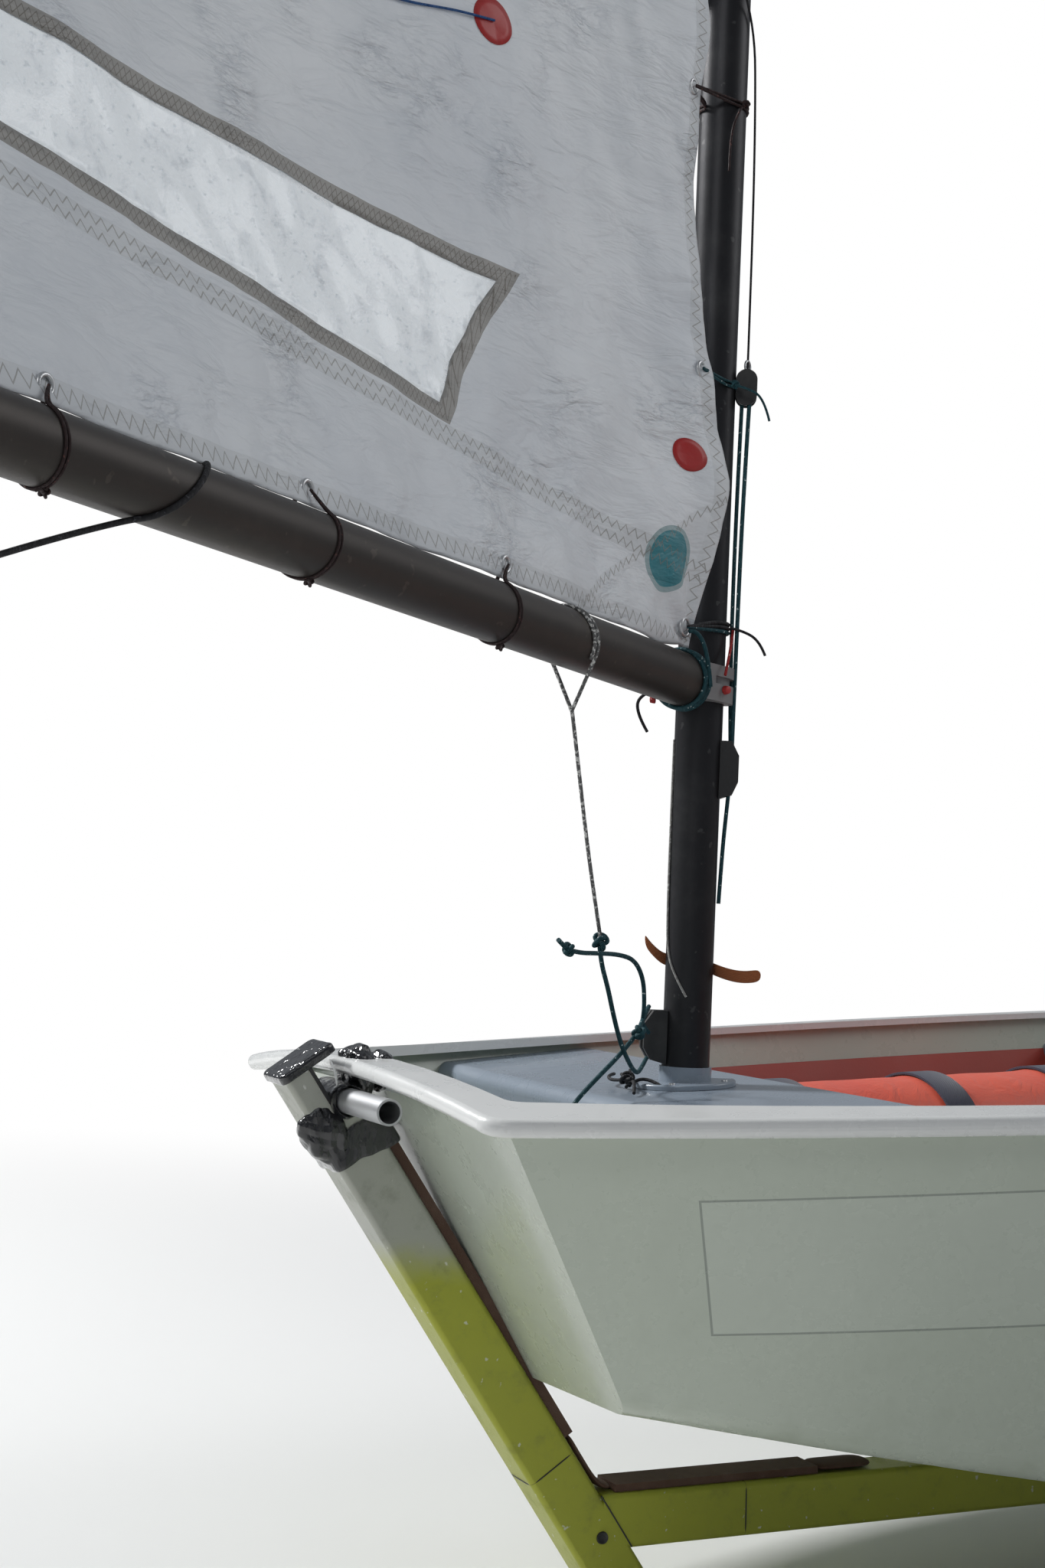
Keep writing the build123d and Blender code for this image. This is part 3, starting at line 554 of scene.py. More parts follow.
def ripple(x, z):
    # folds that fan out from the tack and the eyelets, and soft crumples all over
    tackX, tackZ = cut["tack"]
    reach = math.hypot(x - tackX, z - tackZ)
    angle = math.atan2(z - tackZ, x - tackX)
    fan = math.sin(angle * 9 + 1.2 * noise.noise((x * 3, z * 3, 1))) * math.exp(-((reach - 0.35) / 0.4) ** 2)
    luff = math.sin((z - tackZ) / folds["pitch"] * math.tau) * math.exp(-(x - tackX) / 0.10)
    soft = folds["soft"] * noise.noise((x * 2.2, z * 3.6, 4.0)) + 0.0028 * noise.noise((x * 8.0, z * 5.0, 9.0))
    crisp = folds["crisp"] * abs(noise.noise((x * 15.0 + z * 6, z * 12.0, 3.0)))
    crisp += 0.0016 * abs(noise.noise((x * 34.0, z * 30.0, 8.0)))
    # hard creases: flat places between sharp bends, stronger towards the tack and the luff
    hard = -1.0
    for number, (way, pitch) in enumerate(bends):
        uneven = 0.45 * noise.noise((x * 3.1, z * 3.7, 11.0 + number))
        hard += bent((x * math.cos(way) + z * math.sin(way)) * pitch + uneven) / (1 + number)
    patch = 0.35 + 0.65 * math.exp(-reach / 0.45) + 0.5 * max(0.0, noise.noise((x * 1.9, z * 1.5, 21.0)))
    total = folds["fan"] * fan * min(1.0, (x - 0.02) / 0.05) + folds["luff"] * luff
    total += (soft + crisp) * min(1.0, reach / 0.15) * 0.9
    return total + folds["hard"] * hard * patch * min(1.0, reach / 0.08)


def sailPlace(u, p):
    # the smooth cloth, before it is drawn round the mast or creased
    leech, run = flatPlace(u, p)
    depth = run.length * (sail["belly"] * 6.75 * p * (1 - p) ** 2 + sail["headBelly"])
    sink = depth * (1 - ((u - 0.45) / (0.45 if u < 0.45 else 0.55)) ** 2)
    return Matrix.Rotation(math.radians(sail["twist"] * p), 3, "Z") @ Vector((leech.x, -sink, leech.y))


def creased(x, z):
    # what pulls, folds and the foot's hem add to the smooth cloth at a place of the cut
    tackX, tackZ = cut["tack"]
    near = math.exp(-(x - tackX) / pull["reach"])
    pulled = math.exp(-((z - pull["height"]) / 0.085) ** 2) * near
    sided = math.exp(-((z - pull["height"] - 0.02) / 0.125) ** 2) * near
    above = z - (tackZ + (x - tackX) * footRise)
    gap = 0.0146 - 0.0029 * x
    hem = -gap * math.exp(-above / 0.05) * min(1.0, max(0.0, (x - 0.062) / 0.05))
    corner = 0.013 * math.exp(-((x - tackX) / 0.07) ** 2) * math.exp(-(z - tackZ) / 0.07)
    return Vector((-pull["back"] * pulled, pull["side"] * sided + ripple(x, z), hem - corner))


def onSail(x, z):
    # the place in the rig's frame of a place of the cut, found step by step
    tackX, tackZ = cut["tack"]
    p = max(0.0, min(1.0, (z - tackZ) / 2.2))
    u = 0.0
    for _ in range(12):
        _, run = flatPlace(0, p)
        u = (x - tackX) / run.x
        p += (z - (tackZ + sail["luff"] * p + run.y * u)) / (sail["luff"] + u * 0.8)
    return sailPlace(u, p) + creased(x, z)


def makeSail():
    bm = bmesh.new()
    flatLayer = bm.loops.layers.uv.new("cut")
    seenLayer = bm.loops.layers.uv.new("seen")
    bmesh.ops.create_grid(bm, x_segments=sail["columns"], y_segments=sail["rows"], size=0.5)
    bmesh.ops.translate(bm, vec=(0.5, 0.5, 0), verts=bm.verts)
    for vertex in bm.verts:
        u, p = vertex.co.x ** 1.35, vertex.co.y ** 1.25
        for loop in vertex.link_loops:
            loop[flatLayer].uv = flatPlace(u, p)[0]
        vertex.co = sailPlace(u, p)
    walls = []
    for (ax, az), (bx, bz) in edgesOf(pane["corners"]):
        inward = Vector((bx - ax, 0, bz - az)).cross(Vector((0, 1, 0))).normalized()
        walls.append((Vector((ax, 0, az)) + inward * pane["border"], inward))
    for place, inward in walls:
        bmesh.ops.bisect_plane(bm, geom=bm.verts[:] + bm.edges[:] + bm.faces[:], dist=1e-5,
                               plane_co=place, plane_no=inward)
    isFilm = [all((face.calc_center_median() - place).dot(inward) > 0 for place, inward in walls) for face in bm.faces]
    if not any(isFilm):
        raise ValueError("the window's corners run the other way")
    for vertex in bm.verts:
        for loop in vertex.link_loops:
            loop[seenLayer].uv = (vertex.co.x, vertex.co.z)
        flat = vertex.link_loops[0][flatLayer].uv
        vertex.co += creased(flat.x, flat.y)
    film = bm.copy()
    film.faces.ensure_lookup_table()
    bmesh.ops.delete(film, geom=[face for face, sign in zip(film.faces, isFilm) if not sign], context="FACES")
    bmesh.ops.delete(bm, geom=[face for face, sign in zip(bm.faces, isFilm) if sign], context="FACES")
    made = []
    for name, mesh, finish, node in (("sailCloth", bm, "cloth", "sail"), ("sailFilm", film, "film", "sail_window")):
        piece = thicken(fromBmesh(name, mesh, rigFrame, finish, "rig", turn=False), sail["thick"], 0)
        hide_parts(node)
        made.append(piece)
    return made


sailPieces = makeSail()
clothArea = 0.5 * abs(sum(a[0] * b[1] - b[0] * a[1] for a, b in edgesOf(list(cut.values()))))
filmArea = 0.0
for (ax, az), (bx, bz) in edgesOf(pane["corners"]):
    half = 0.5 * abs(ax * bz - bx * az - 0.7 * (bz - az) - 0.66 * (ax - bx))
    filmArea += half - math.hypot(bx - ax, bz - az) * pane["border"]
clothArea - filmArea
print("sail made")


def rope(name, points, thick, finish, place=rigFrame, body="rig", closed=False):
    curve = bpy.data.curves.new(name, "CURVE")
    curve.dimensions = "3D"
    curve.bevel_depth = thick / 2
    curve.bevel_resolution = 3
    curve.use_fill_caps = True
    line = curve.splines.new("NURBS")
    line.points.add(len(points) - 1)
    for point, spot in zip(line.points, points):
        point.co = (*spot, 1)
    line.use_cyclic_u = closed
    line.use_endpoint_u = not closed
    line.order_u = 3
    line.resolution_u = 6
    holder = bpy.data.objects.new(name, curve)
    bpy.context.collection.objects.link(holder)
    bpy.context.view_layer.update()
    mesh = bpy.data.meshes.new_from_object(holder)
    bpy.data.objects.remove(holder)
    mesh.name = name
    mesh.transform(place)
    return addPiece(name, mesh, finish, body)


def knot(name, centre, size, thick, finish, turn=0.0, place=rigFrame, body="rig"):
    # an overhand knot drawn tight
    points = []
    for step in range(22):
        angle = math.tau * step / 22
        swing = size * (0.55 + 0.30 * math.cos(3 * angle))
        spot = Vector((swing * math.cos(2 * angle), 0.55 * size * math.sin(3 * angle), swing * math.sin(2 * angle)))
        points.append(Vector(centre) + Matrix.Rotation(turn, 3, "Z") @ spot)
    return rope(name, points, thick, finish, place, body, closed=True)


ties = {"thick": 0.0026, "luff": 0.0245, "luffHeights": (0.668, 0.937, 1.195, 1.453, 1.711, 1.969),
        "foot": 0.0265, "footPlaces": (0.375, 0.64, 0.915, 1.2, 1.49, 1.77), "eyelet": 0.0065}
# in the rig's frame: away to the right as the photograph sees it, towards the camera, and up
side, ahead, upward = Vector((-0.443, 0.896, 0)), Vector((0.896, 0.443, 0)), Vector((0, 0, 1))


def seenFrom(right, near, high):
    return side * right + ahead * near + upward * high


def ring(name, place, radius, thick, sides):
    bm = bmesh.new()
    turned = Matrix.Translation((radius, 0, 0)) @ Matrix.Rotation(math.pi / 2, 4, "X")
    bmesh.ops.create_circle(bm, segments=sides, radius=thick, matrix=turned)
    bmesh.ops.spin(bm, geom=bm.verts[:] + bm.edges[:], cent=(0, 0, 0), axis=(0, 0, 1), angle=math.tau, steps=20,
                   use_merge=True)
    bmesh.ops.remove_doubles(bm, verts=bm.verts, dist=1e-6)
    return fromBmesh(name, bm, place, "steel", "rig")


def facing(spot, way):
    return Matrix.Translation(spot) @ Vector(way).to_track_quat("Z", "Y").to_matrix().to_4x4()


def eyelet(name, spot, way=(0, 1, 0), place=rigFrame, size=ties["eyelet"]):
    return ring(name, place @ facing(spot, way), size, size * 0.28, 8)


def makeLuffTies():
    for number, height in enumerate(ties["luffHeights"]):
        spot = onSail(0.058, height)
        eyelet(f"luffEyelet{number + 1}", spot)
        finish = "rope" if number == 0 else "tie"
        for turn in (0, 1):
            points = [spot + Vector((0, 0.003, 0.001 * turn))]
            for step in range(1, 12):
                points.append(polar(ties["luff"], 22 + 30 * step, height - 0.004 * step / 12 + 0.004 * turn - 0.006))
            points.append(spot + Vector((0, -0.003, 0.001 * turn)))
            rope(f"luffTie{number + 1}{'ab'[turn]}", points, ties["thick"], finish)
        start = Vector((0.010, 0.026, height - 0.006))
        knot(f"luffKnot{number + 1}", start + Vector((0, 0.003, 0)), 0.0042, ties["thick"], finish)
        tail = [Vector((0, 0, 0)), side * 0.012 + Vector((0.004, 0.004, -0.004)), side * 0.030 - upward * 0.012,
                side * 0.036 - upward * 0.034]
        if number == 1:
            tail = [(0, 0, 0), (0.012, 0.002, -0.010), (0.022, -0.002, -0.035), (0.021, -0.002, -0.070)]
        rope(f"luffTail{number + 1}", [start + Vector(part) for part in tail], ties["thick"] * 0.9, finish)


def makeFootTies():
    for number, far in enumerate(ties["footPlaces"], 1):
        lean = 0.02 if number % 2 else -0.02
        foot = onSail(far, cut["tack"][1] + (far - cut["tack"][0]) * footRise + 0.010)
        top = boomFrame.inverted() @ rigFrame @ foot
        eyelet(f"footEyelet{number}", foot)
        for turn in (0, 1):
            points = [top + Vector((0, 0.003, 0))]
            for step in range(13):
                points.append(aboutX(top.x + lean * (0.5 - step / 12) + 0.003 * turn, ties["foot"], 72 - 27 * step))
            points.append(top + Vector((0, -0.003, 0)))
            rope(f"footTie{number}{'ab'[turn]}", points, ties["thick"] * 0.85, "tie", boomFrame)
        low = Vector((top.x, 0.004, -ties["foot"] - 0.001))
        knot(f"footKnot{number}", low, 0.004, ties["thick"] * 0.85, "tie", place=boomFrame)
        tail = ((0, 0, 0), (0.006, 0.005, -0.003), (0.013, 0.009, -0.001), (0.019, 0.011, -0.004))
        rope(f"footTail{number}", [low + Vector(part) for part in tail], ties["thick"] * 0.8, "tie", boomFrame)


makeLuffTies()
makeFootTies()
print("ties made")

vang = {"thick": 0.0042, "strop": 0.0034, "along": 0.255, "radius": 0.0268}
bridle = {"thick": 0.0042, "start": 0.755, "radius": 0.0272, "low": (1.06, 0, -0.1175)}


def makeVang():
    # a grey strop over the boom, and a blue-green rope from its knot through the cleat on the mast
    thick = vang["thick"]
    turns = [aboutX(vang["along"] + 0.010 * math.sin(math.radians(a)), vang["radius"], a) for a in range(-40, 221, 20)]
    joint = boomFrame.inverted() @ rigFrame @ Vector((0.248, 0.0, 0.330))
    rope("vangStrop", [joint, *turns, joint], vang["strop"], "strop", boomFrame)
    rope("vangStropTurn", [spot + Vector((0.006, 0, 0)) for spot in turns], vang["strop"], "strop", boomFrame)
    rope("vangFall", [(0.248, 0, 0.332), (0.236, 0.001, 0.290), (0.205, 0, 0.200), (0.179, 0, 0.137)],
         vang["strop"], "strop")
    knot("vangKnot", (0.179, 0, 0.134), 0.0085, thick, "rope")
    rope("vangLoop", [(0.180, 0, 0.130), (0.176, 0, 0.115), (0.166, 0.002, 0.095), (0.152, 0.002, 0.068),
                      (0.132, 0, 0.042), (0.104, -0.004, 0.022), (0.080, -0.010, 0.014), (0.060, -0.016, 0.017),
                      (0.042, -0.020, 0.026)], thick, "rope")
    rope("vangTail", [(0.239, 0, 0.127), (0.222, 0.002, 0.124), (0.190, 0.004, 0.124), (0.150, 0.004, 0.123),
                      (0.112, 0, 0.118), (0.086, -0.004, 0.101), (0.078, -0.006, 0.080), (0.079, -0.006, 0.066),
                      (0.070, -0.012, 0.058), (0.044, -0.018, 0.050)], thick, "rope")
    knot("vangTailKnot", (0.236, 0, 0.127), 0.006, thick, "rope", 0.7)
    rope("vangStub", [(0.240, 0, 0.128), (0.250, 0.002, 0.131), (0.258, 0.002, 0.135)], thick, "rope")
    knot("painterKnot", (0.106, 0.004, 0.053), 0.0065, thick, "rope", 1.2)
    rope("painter", [(0.045, -0.018, 0.074), (0.070, -0.010, 0.066), (0.104, 0.002, 0.053), (0.126, -0.003, 0.034),
                     (0.150, -0.012, 0.014), (0.170, -0.022, -0.006), (0.188, -0.030, -0.030), (0.196, -0.032, -0.075),
                     (0.200, -0.032, -0.120)], thick, "rope")


def makeBridle():
    # the bridle below the boom that the sheet is clipped to
    middle = bridle["low"][0]
    near = [aboutX(bridle["start"] + 0.085 * step / 10, bridle["radius"], 112 - 19.5 * step) for step in range(11)]
    near += [(0.90, -0.004, -0.052), (0.98, -0.001, -0.086), (1.05, 0, -0.1155)]
    far = [(2 * middle - x, y, z) for x, y, z in reversed(near)]
    rope("bridle", [*near, bridle["low"], *far], bridle["thick"], "darkTie", boomFrame)
    for number, (x, y, z) in enumerate((near[0], far[-1])):
        knot(f"bridleKnot{number + 1}", (x, y - 0.002, z + 0.001), 0.0055, bridle["thick"], "darkTie", place=boomFrame)
    eyelet("bridleRing", (middle, 0, -0.126), (1, 0, 0), boomFrame, 0.0085)
    # a pale line that hangs down the mast
    path = ((-0.0226, 0.0040, 0.325), (-0.0228, 0.0060, 0.250), (-0.0226, 0.0070, 0.173), (-0.0214, 0.0100, 0.125),
            (-0.0130, 0.0206, 0.102), (-0.0020, 0.0244, 0.084))
    rope("mastLine", [seenFrom(*part) for part in path], 0.0022, "line")


def makeSpritTackle():
    # two parts of rope between the block and the cleat at the mast's far side, and the line above the block
    turned = Matrix.Rotation(math.radians(116.3), 3, "Z")
    lines = {"spritPartA": ((0.029, 0.004, 0.655), (0.0275, 0.004, 0.55), (0.0275, 0.004, 0.42), (0.030, 0.003, 0.325),
                            (0.032, 0, 0.298)),
             "spritPartB": ((0.036, -0.004, 0.655), (0.0335, -0.003, 0.56), (0.0325, -0.003, 0.44),
                            (0.032, -0.002, 0.34), (0.032, 0, 0.300)),
             "spritTail": ((0.032, 0, 0.302), (0.030, 0, 0.270), (0.0275, 0.001, 0.235), (0.0260, 0, 0.200),
                           (0.0250, 0, 0.172)),
             "spritLine": ((0.033, 0, 0.682), (0.033, 0, 0.80), (0.031, 0, 0.93), (0.027, 0, 1.02),
                           (0.012, -0.036, 1.045))}
    for name, points in lines.items():
        thick, finish = (0.0022, "darkTie") if name == "spritLine" else (0.004, "rope")
        rope(name, [turned @ Vector(point) for point in points], thick, finish)
    top = Matrix.Translation(turned @ Vector((0.033, 0, 0.684))) @ Matrix.Rotation(math.pi / 2, 4, "X")
    ring("blockRing", rigFrame @ top, 0.0055, 0.0012, 10)


def makeJawLines():
    # turns of rope about the boom's end and the tack, a red cord and two red plugs
    for number, along in enumerate((0.036, 0.040, 0.0445)):
        turns = [aboutX(along + 0.004 * math.sin(math.radians(a)), 0.0275, a) for a in range(0, 360, 24)]
        rope(f"endTurn{number + 1}", turns, 0.0044, "rope", boomFrame, closed=True)
    tack = onSail(0.060, 0.436)
    eyelet("tackEyelet", tack, size=0.008)
    for number in range(3):
        turns = [polar(0.0248, a, 0.428 + 0.004 * number) for a in range(50, 330, 25)]
        turns = [tack + Vector((0, 0.004, 0)), *turns, tack - Vector((0, 0.004, 0))]
        rope(f"tackTie{number + 1}", turns, 0.0036, "darkTie" if number else "rope")
    rope("tackTail", [side * 0.026 + Vector((0.010, 0.005, 0.432)), seenFrom(0.042, 0, 0.430),
                      seenFrom(0.055, 0, 0.420), seenFrom(0.060, 0, 0.408)], 0.0026, "darkTie")
    rope("tackDown", [tack + Vector((0, 0.005, -0.004)), (0.050, 0.020, 0.424), (0.044, 0.0285, 0.400),
                      (0.040, 0.030, 0.372)], 0.004, "rope")
    rope("redLine", [side * 0.027 + Vector((0, 0.002, 0.431)), (0.000, 0.030, 0.412), (0.012, 0.0335, 0.398),
                     (0.018, 0.034, 0.385)], 0.0028, "redCord")
    rope("darkTail", [(0.050, -0.024, 0.368), (0.062, -0.034, 0.362), (0.058, -0.036, 0.345),
                      (0.044, -0.032, 0.330)], 0.003, "darkTie")
    for number, (x, y, z, size) in enumerate(((0.010, 0.0325, 0.372, 0.0045), (0.046, -0.0265, 0.360, 0.0040))):
        bm = bmesh.new()
        bmesh.ops.create_cone(bm, cap_ends=True, segments=20, radius1=size, radius2=size * 0.8, depth=0.005)
        bevelAll(bm, bm.edges[:], 0.0007, 2)
        place = rigFrame @ facing((x, y, z), (0.3, math.copysign(1, y), 0))
        fromBmesh(f"redPlug{number + 1}", bm, place, "plug", "rig")


makeVang()
makeBridle()
makeSpritTackle()
makeJawLines()
print("running lines made")


def extrude(bm, edges, by):
    # pulls edges out and returns the new ones
    made = bmesh.ops.extrude_edge_only(bm, edges=edges)["geom"]
    bmesh.ops.translate(bm, vec=by, verts=[part for part in made if isinstance(part, bmesh.types.BMVert)])
    return [part for part in made if isinstance(part, bmesh.types.BMEdge)]


def strip(name, path, across, wide, thick, finish, place, body=boat):
    # a flat tape that follows a path
    bm = bmesh.new()
    aside = Vector(across).normalized() * wide / 2
    edges = [bm.edges.new([bm.verts.new(Vector(path[0]) + aside), bm.verts.new(Vector(path[0]) - aside)])]
    for here, after in zip(path, path[1:]):
        edges = extrude(bm, edges, Vector(after) - Vector(here))
    piece = fromBmesh(name, bm, place, finish, body)
    modify(piece, "SOLIDIFY", thickness=thick, offset=0)
    modify(piece, "SUBSURF", levels=2, render_levels=2)
    return applyAll(piece)


ribbon = {"radius": 0.0233, "wide": 0.013, "thick": 0.0011}


def makeRibbon():
    # one stiff tape, stuck round the mast's far side, with both ends standing out
    path = [seenFrom(-0.043, 0.003, 0.136), seenFrom(-0.039, 0.002, 0.130), seenFrom(-0.033, -0.001, 0.124),
            seenFrom(-0.027, -0.006, 0.119)]
    for step in range(7):
        turned = polar(ribbon["radius"], 205 + 130 * step / 6)
        path.append(seenFrom(turned.x, turned.y, 0.117 - 0.006 * step / 6))
    path += [seenFrom(0.030, -0.004, 0.1075), seenFrom(0.045, 0.002, 0.104), seenFrom(0.058, 0.004, 0.1045),
             seenFrom(0.068, 0.003, 0.107)]
    strip("ribbon", path, (0.25, 0.02, 1.0), ribbon["wide"], ribbon["thick"], "ribbon", rigFrame, "rig")


makeRibbon()


def copyNode(node, name):
    # a merged copy of a CAD mesh, to finish as soft goods
    bm = bmesh.new()
    bm.from_mesh(bpy.data.objects[node].data)
    bmesh.ops.remove_doubles(bm, verts=bm.verts, dist=1e-5)
    bmesh.ops.dissolve_limit(bm, angle_limit=math.radians(1.5), verts=bm.verts, edges=bm.edges)
    mesh = bpy.data.meshes.new(name)
    bm.to_mesh(mesh)
    bm.free()
    return mesh


# each lump of tape: where it is on the arm, its lean, its half sizes, its seed, how deep it is crushed, its droop
tape = {"edge": 0.0016, "wall": 0.0008, "handle": (-0.0125, 0, 0.4276), "lumps": {
    "tapeHanging": ((0.0170, 0.0170, 0.4050), 0.10, (0.0190, 0.0120, 0.0330), 3.3, 0.38, 0.96),
    "tapeInside": ((-0.0385, 0.004, 0.4365), -0.45, (0.0125, 0.0245, 0.0235), 9.1, 0.42, 0.35),
    "tapeUnderRail": ((-0.0560, 0.006, 0.4270), -0.9, (0.0095, 0.0215, 0.0170), 14.2, 0.42, 0.25)}}


def crush(place, seed):
    # flat facets between sharp creases, as in foil squeezed by hand
    spot = Vector(place)
    total = 0.0
    for number in range(5):
        angle = seed * 1.7 + number * 2.4
        way = Vector((math.cos(angle), math.sin(angle), math.sin(seed + number * 1.3))).normalized()
        uneven = 0.3 * noise.noise(spot * 30 + Vector((seed, 0, 0)))
        total += bent(spot.dot(way) * (34 + 15 * number) + number * 0.37 + uneven) / (1 + 0.5 * number)
    return total / 2.4


def rounded(normal, power):
    # how far out a box with round corners lies, against a ball
    return sum(abs(part) ** power for part in normal) ** (-1 / power)


def tapeWrap(name, place, wide, deep, long, squareness, seed, lean, grain):
    # crumpled tape wound about a bar that lies along local z
    bm = bmesh.new()
    bmesh.ops.create_circle(bm, segments=112, radius=1.0)
    edges = bm.edges[:]
    rows = 34
    for _ in range(rows):
        edges = extrude(bm, edges, (0, 0, long / rows))
    for vertex in bm.verts:
        x, y, z = vertex.co
        share = rounded((x, y), squareness)
        ends = max(0.0, abs(z / long - 0.5) * 2 - 0.86) / 0.14
        bulk = grain * (0.5 + 0.8 * crush((x * wide / 2, y * deep / 2, z), seed)) * (1 - 0.8 * ends) + 0.0004
        ragged = 0.0035 * noise.noise((x * 2.3, y * 2.3, seed)) * (1 if z > long / 2 else -1)
        vertex.co = (x * share * (wide / 2 + bulk), y * share * (deep / 2 + bulk), z + lean * x * wide / 2 + ragged)
    return thicken(fromBmesh(name, bm, place, "tape", boat, smooth=False), tape["wall"], 1)


def tapeLump(name, spot, lean, size, seed, depth, droop):
    # a crushed ball of tape, pulled down to a corner where it droops
    bm = bmesh.new()
    bmesh.ops.create_icosphere(bm, subdivisions=6, radius=1.0)
    for vertex in bm.verts:
        normal = vertex.co.normalized()
        body = Vector([part * half for part, half in zip(normal, size)]) * rounded(normal, 3.4)
        body += normal * depth * min(size) * (1.5 * crush(body, seed) - 0.85)
        if body.z < 0:
            taper = 1 - droop * min(1.0, -body.z / size[2]) ** 1.5
            body.x *= taper
            body.y *= taper
        vertex.co = body
    place = armFrame @ Matrix.Translation(spot) @ Matrix.Rotation(lean, 4, "Y")
    return fromBmesh(name, bm, place, "tape", boat, smooth=False)


def makeTape():
    # painted highlight: a white strip where light glints along a fold of the black tape
    fold = [(x, 0.0262, z) for x, z in ((-0.0185, 0.4675), (-0.0178, 0.4590), (-0.0150, 0.4500), (-0.0112, 0.4420))]
    strip("tapeFoldGlint", fold, (0, 1, 0), tape["edge"], 0.0022, "rail", armFrame)
    below = armFrame @ Matrix.Translation((-0.0050, 0, 0.3745))
    tapeWrap("tapeBelowHandle", below, 0.0620, 0.0504, 0.032, 10.0, 7.7, 0.17, 0.0010)
    for name, shape in tape["lumps"].items():
        tapeLump(name, *shape)
    handle = armFrame @ Matrix.Translation(tape["handle"]) @ Matrix.Rotation(math.pi / 2, 4, "X")
    start = handle @ Matrix.Translation((0, 0, -0.0345))
    tapeWrap("tapeHandle", start, 0.0240, 0.0240, 0.069, 2.2, 21.0, 0.0, 0.0024)
    cap = copyNode("dolly_arm_cap", "capTaped")
    bm = bmesh.new()
    bm.from_mesh(cap)
    long = [edge for edge in bm.edges if edge.calc_length() > 0.004]
    bmesh.ops.subdivide_edges(bm, edges=long, cuts=6, use_grid_fill=True)
    bmesh.ops.triangulate(bm, faces=bm.faces)
    bmesh.ops.subdivide_edges(bm, edges=bm.edges[:], cuts=1)
    for vertex in bm.verts:
        vertex.co += vertex.normal * 0.0006 * (0.6 + crush(vertex.co, 5.0))
    bm.to_mesh(cap)
    bm.free()
    taped = addPiece("capTaped", cap, "tape", boat)
    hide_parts("dolly_arm_cap")


makeTape()
print("tape and ribbons made")


bagShape = {"voxel": 0.008, "shrink": 0.0016, "pressure": 4.0, "frames": 18, "most": 0.0045}
# each bag: the two ends of its middle line in the hull's frame, and where its straps are along it
bagRuns = {"port": ((1.200, 0.392, 0.250), (1.800, 0.309, 0.268), (0.14, 0.46, 0.82)),
           "starboard": ((1.200, -0.392, 0.250), (1.800, -0.309, 0.268), (0.14, 0.46, 0.82)),
           "stern": ((0.115, -0.380, 0.196), (0.115, 0.380, 0.196), (0.2, 0.8))}


def makeBag(word):
    start, end, straps = bagRuns[word]
    start, end = hullFrame @ Vector(start), hullFrame @ Vector(end)
    run = end - start
    bag = addPiece(f"bag_{word}", copyNode(f"buoyancy_bag_{word}", f"bag_{word}"), "bag", boat)
    modify(bag, "REMESH", mode="VOXEL", voxel_size=bagShape["voxel"])
    applyAll(bag)
    bag.data.materials.clear()
    bag.data.materials.append(finishes["bag"])
    bag.data.shade_smooth()
    bm = bmesh.new()
    bm.from_mesh(bag.data)
    bmesh.ops.smooth_vert(bm, verts=bm.verts, factor=0.5, use_axis_x=True, use_axis_y=True, use_axis_z=True)
    rest = []
    for vertex in bm.verts:
        # welded seams, gathered ends and a slimmer body between the straps
        along = (vertex.co - start).dot(run) / run.length_squared
        pinch = max(math.exp(-((along - place) * run.length / 0.024) ** 4) for place in straps)
        seam = abs(noise.noise(vertex.co * 16.0)) * 0.0016 * (1 - pinch)
        far = min(1.0, max(0.0, (abs(along - 0.5) - 0.36) / 0.14))
        spoke = vertex.co - (start + run * along)
        spoke = spoke.normalized() if spoke.length > 1e-6 else Vector((0, 0, 1))
        turn = math.atan2(spoke.z, spoke.cross(run.normalized()).z)
        gather = far * 0.0035 * math.sin(turn * 17 + 3 * noise.noise(vertex.co * 9))
        vertex.co -= vertex.normal * (bagShape["shrink"] * (1 - pinch) + seam + gather + 0.0035 * far)
        rest.append(vertex.co.copy())
    bm.to_mesh(bag.data)
    bm.free()
    inflate(bag, start, run, straps, rest)
    modify(bag, "SUBSURF", levels=1, render_levels=1)
    applyAll(bag)
    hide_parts(f"buoyancy_bag_{word}")


def inflate(bag, start, run, straps, rest):
    # blows the bag up a little between its straps, where it is held
    held = bag.vertex_groups.new(name="held")
    for index, spot in enumerate(rest):
        along = (spot - start).dot(run) / run.length_squared
        if min(abs(along - place) for place in straps) * run.length < 0.021:
            held.add([index], 1.0, "REPLACE")
    blow = modify(bag, "CLOTH")
    blow.settings.use_pressure = True
    blow.settings.uniform_pressure_force = bagShape["pressure"]
    blow.settings.effector_weights.gravity = 0
    blow.settings.vertex_group_mass = "held"
    blow.settings.quality = 4
    blow.point_cache.frame_end = bagShape["frames"]
    scene = bpy.context.scene
    for step in range(1, bagShape["frames"] + 1):
        scene.frame_set(step)
    applyAll(bag)
    scene.frame_set(1)
    for vertex, spot in zip(bag.data.vertices, rest):
        move = vertex.co - spot
        if move.length > bagShape["most"]:
            vertex.co = spot + move.normalized() * bagShape["most"]


for word in bagRuns:
    makeBag(word)
print("bags made")

straps = {"bag_straps_port": "strapsPort", "bag_straps_starboard": "strapsStarboard",
          "bag_straps_stern": "strapsStern", "toe_straps": "toeStraps"}
tread = {"blocks": 34, "rows": (-0.021, 0.021), "size": (0.0075, 0.019, 0.004), "turn": 0.35}


def makeStraps():
    for node, name in straps.items():
        piece = addPiece(name, copyNode(node, name), "webbing", boat, smooth=False)
        modify(piece, "BEVEL", width=0.0007, segments=2, limit_method="ANGLE")
        applyAll(piece)
        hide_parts(node)


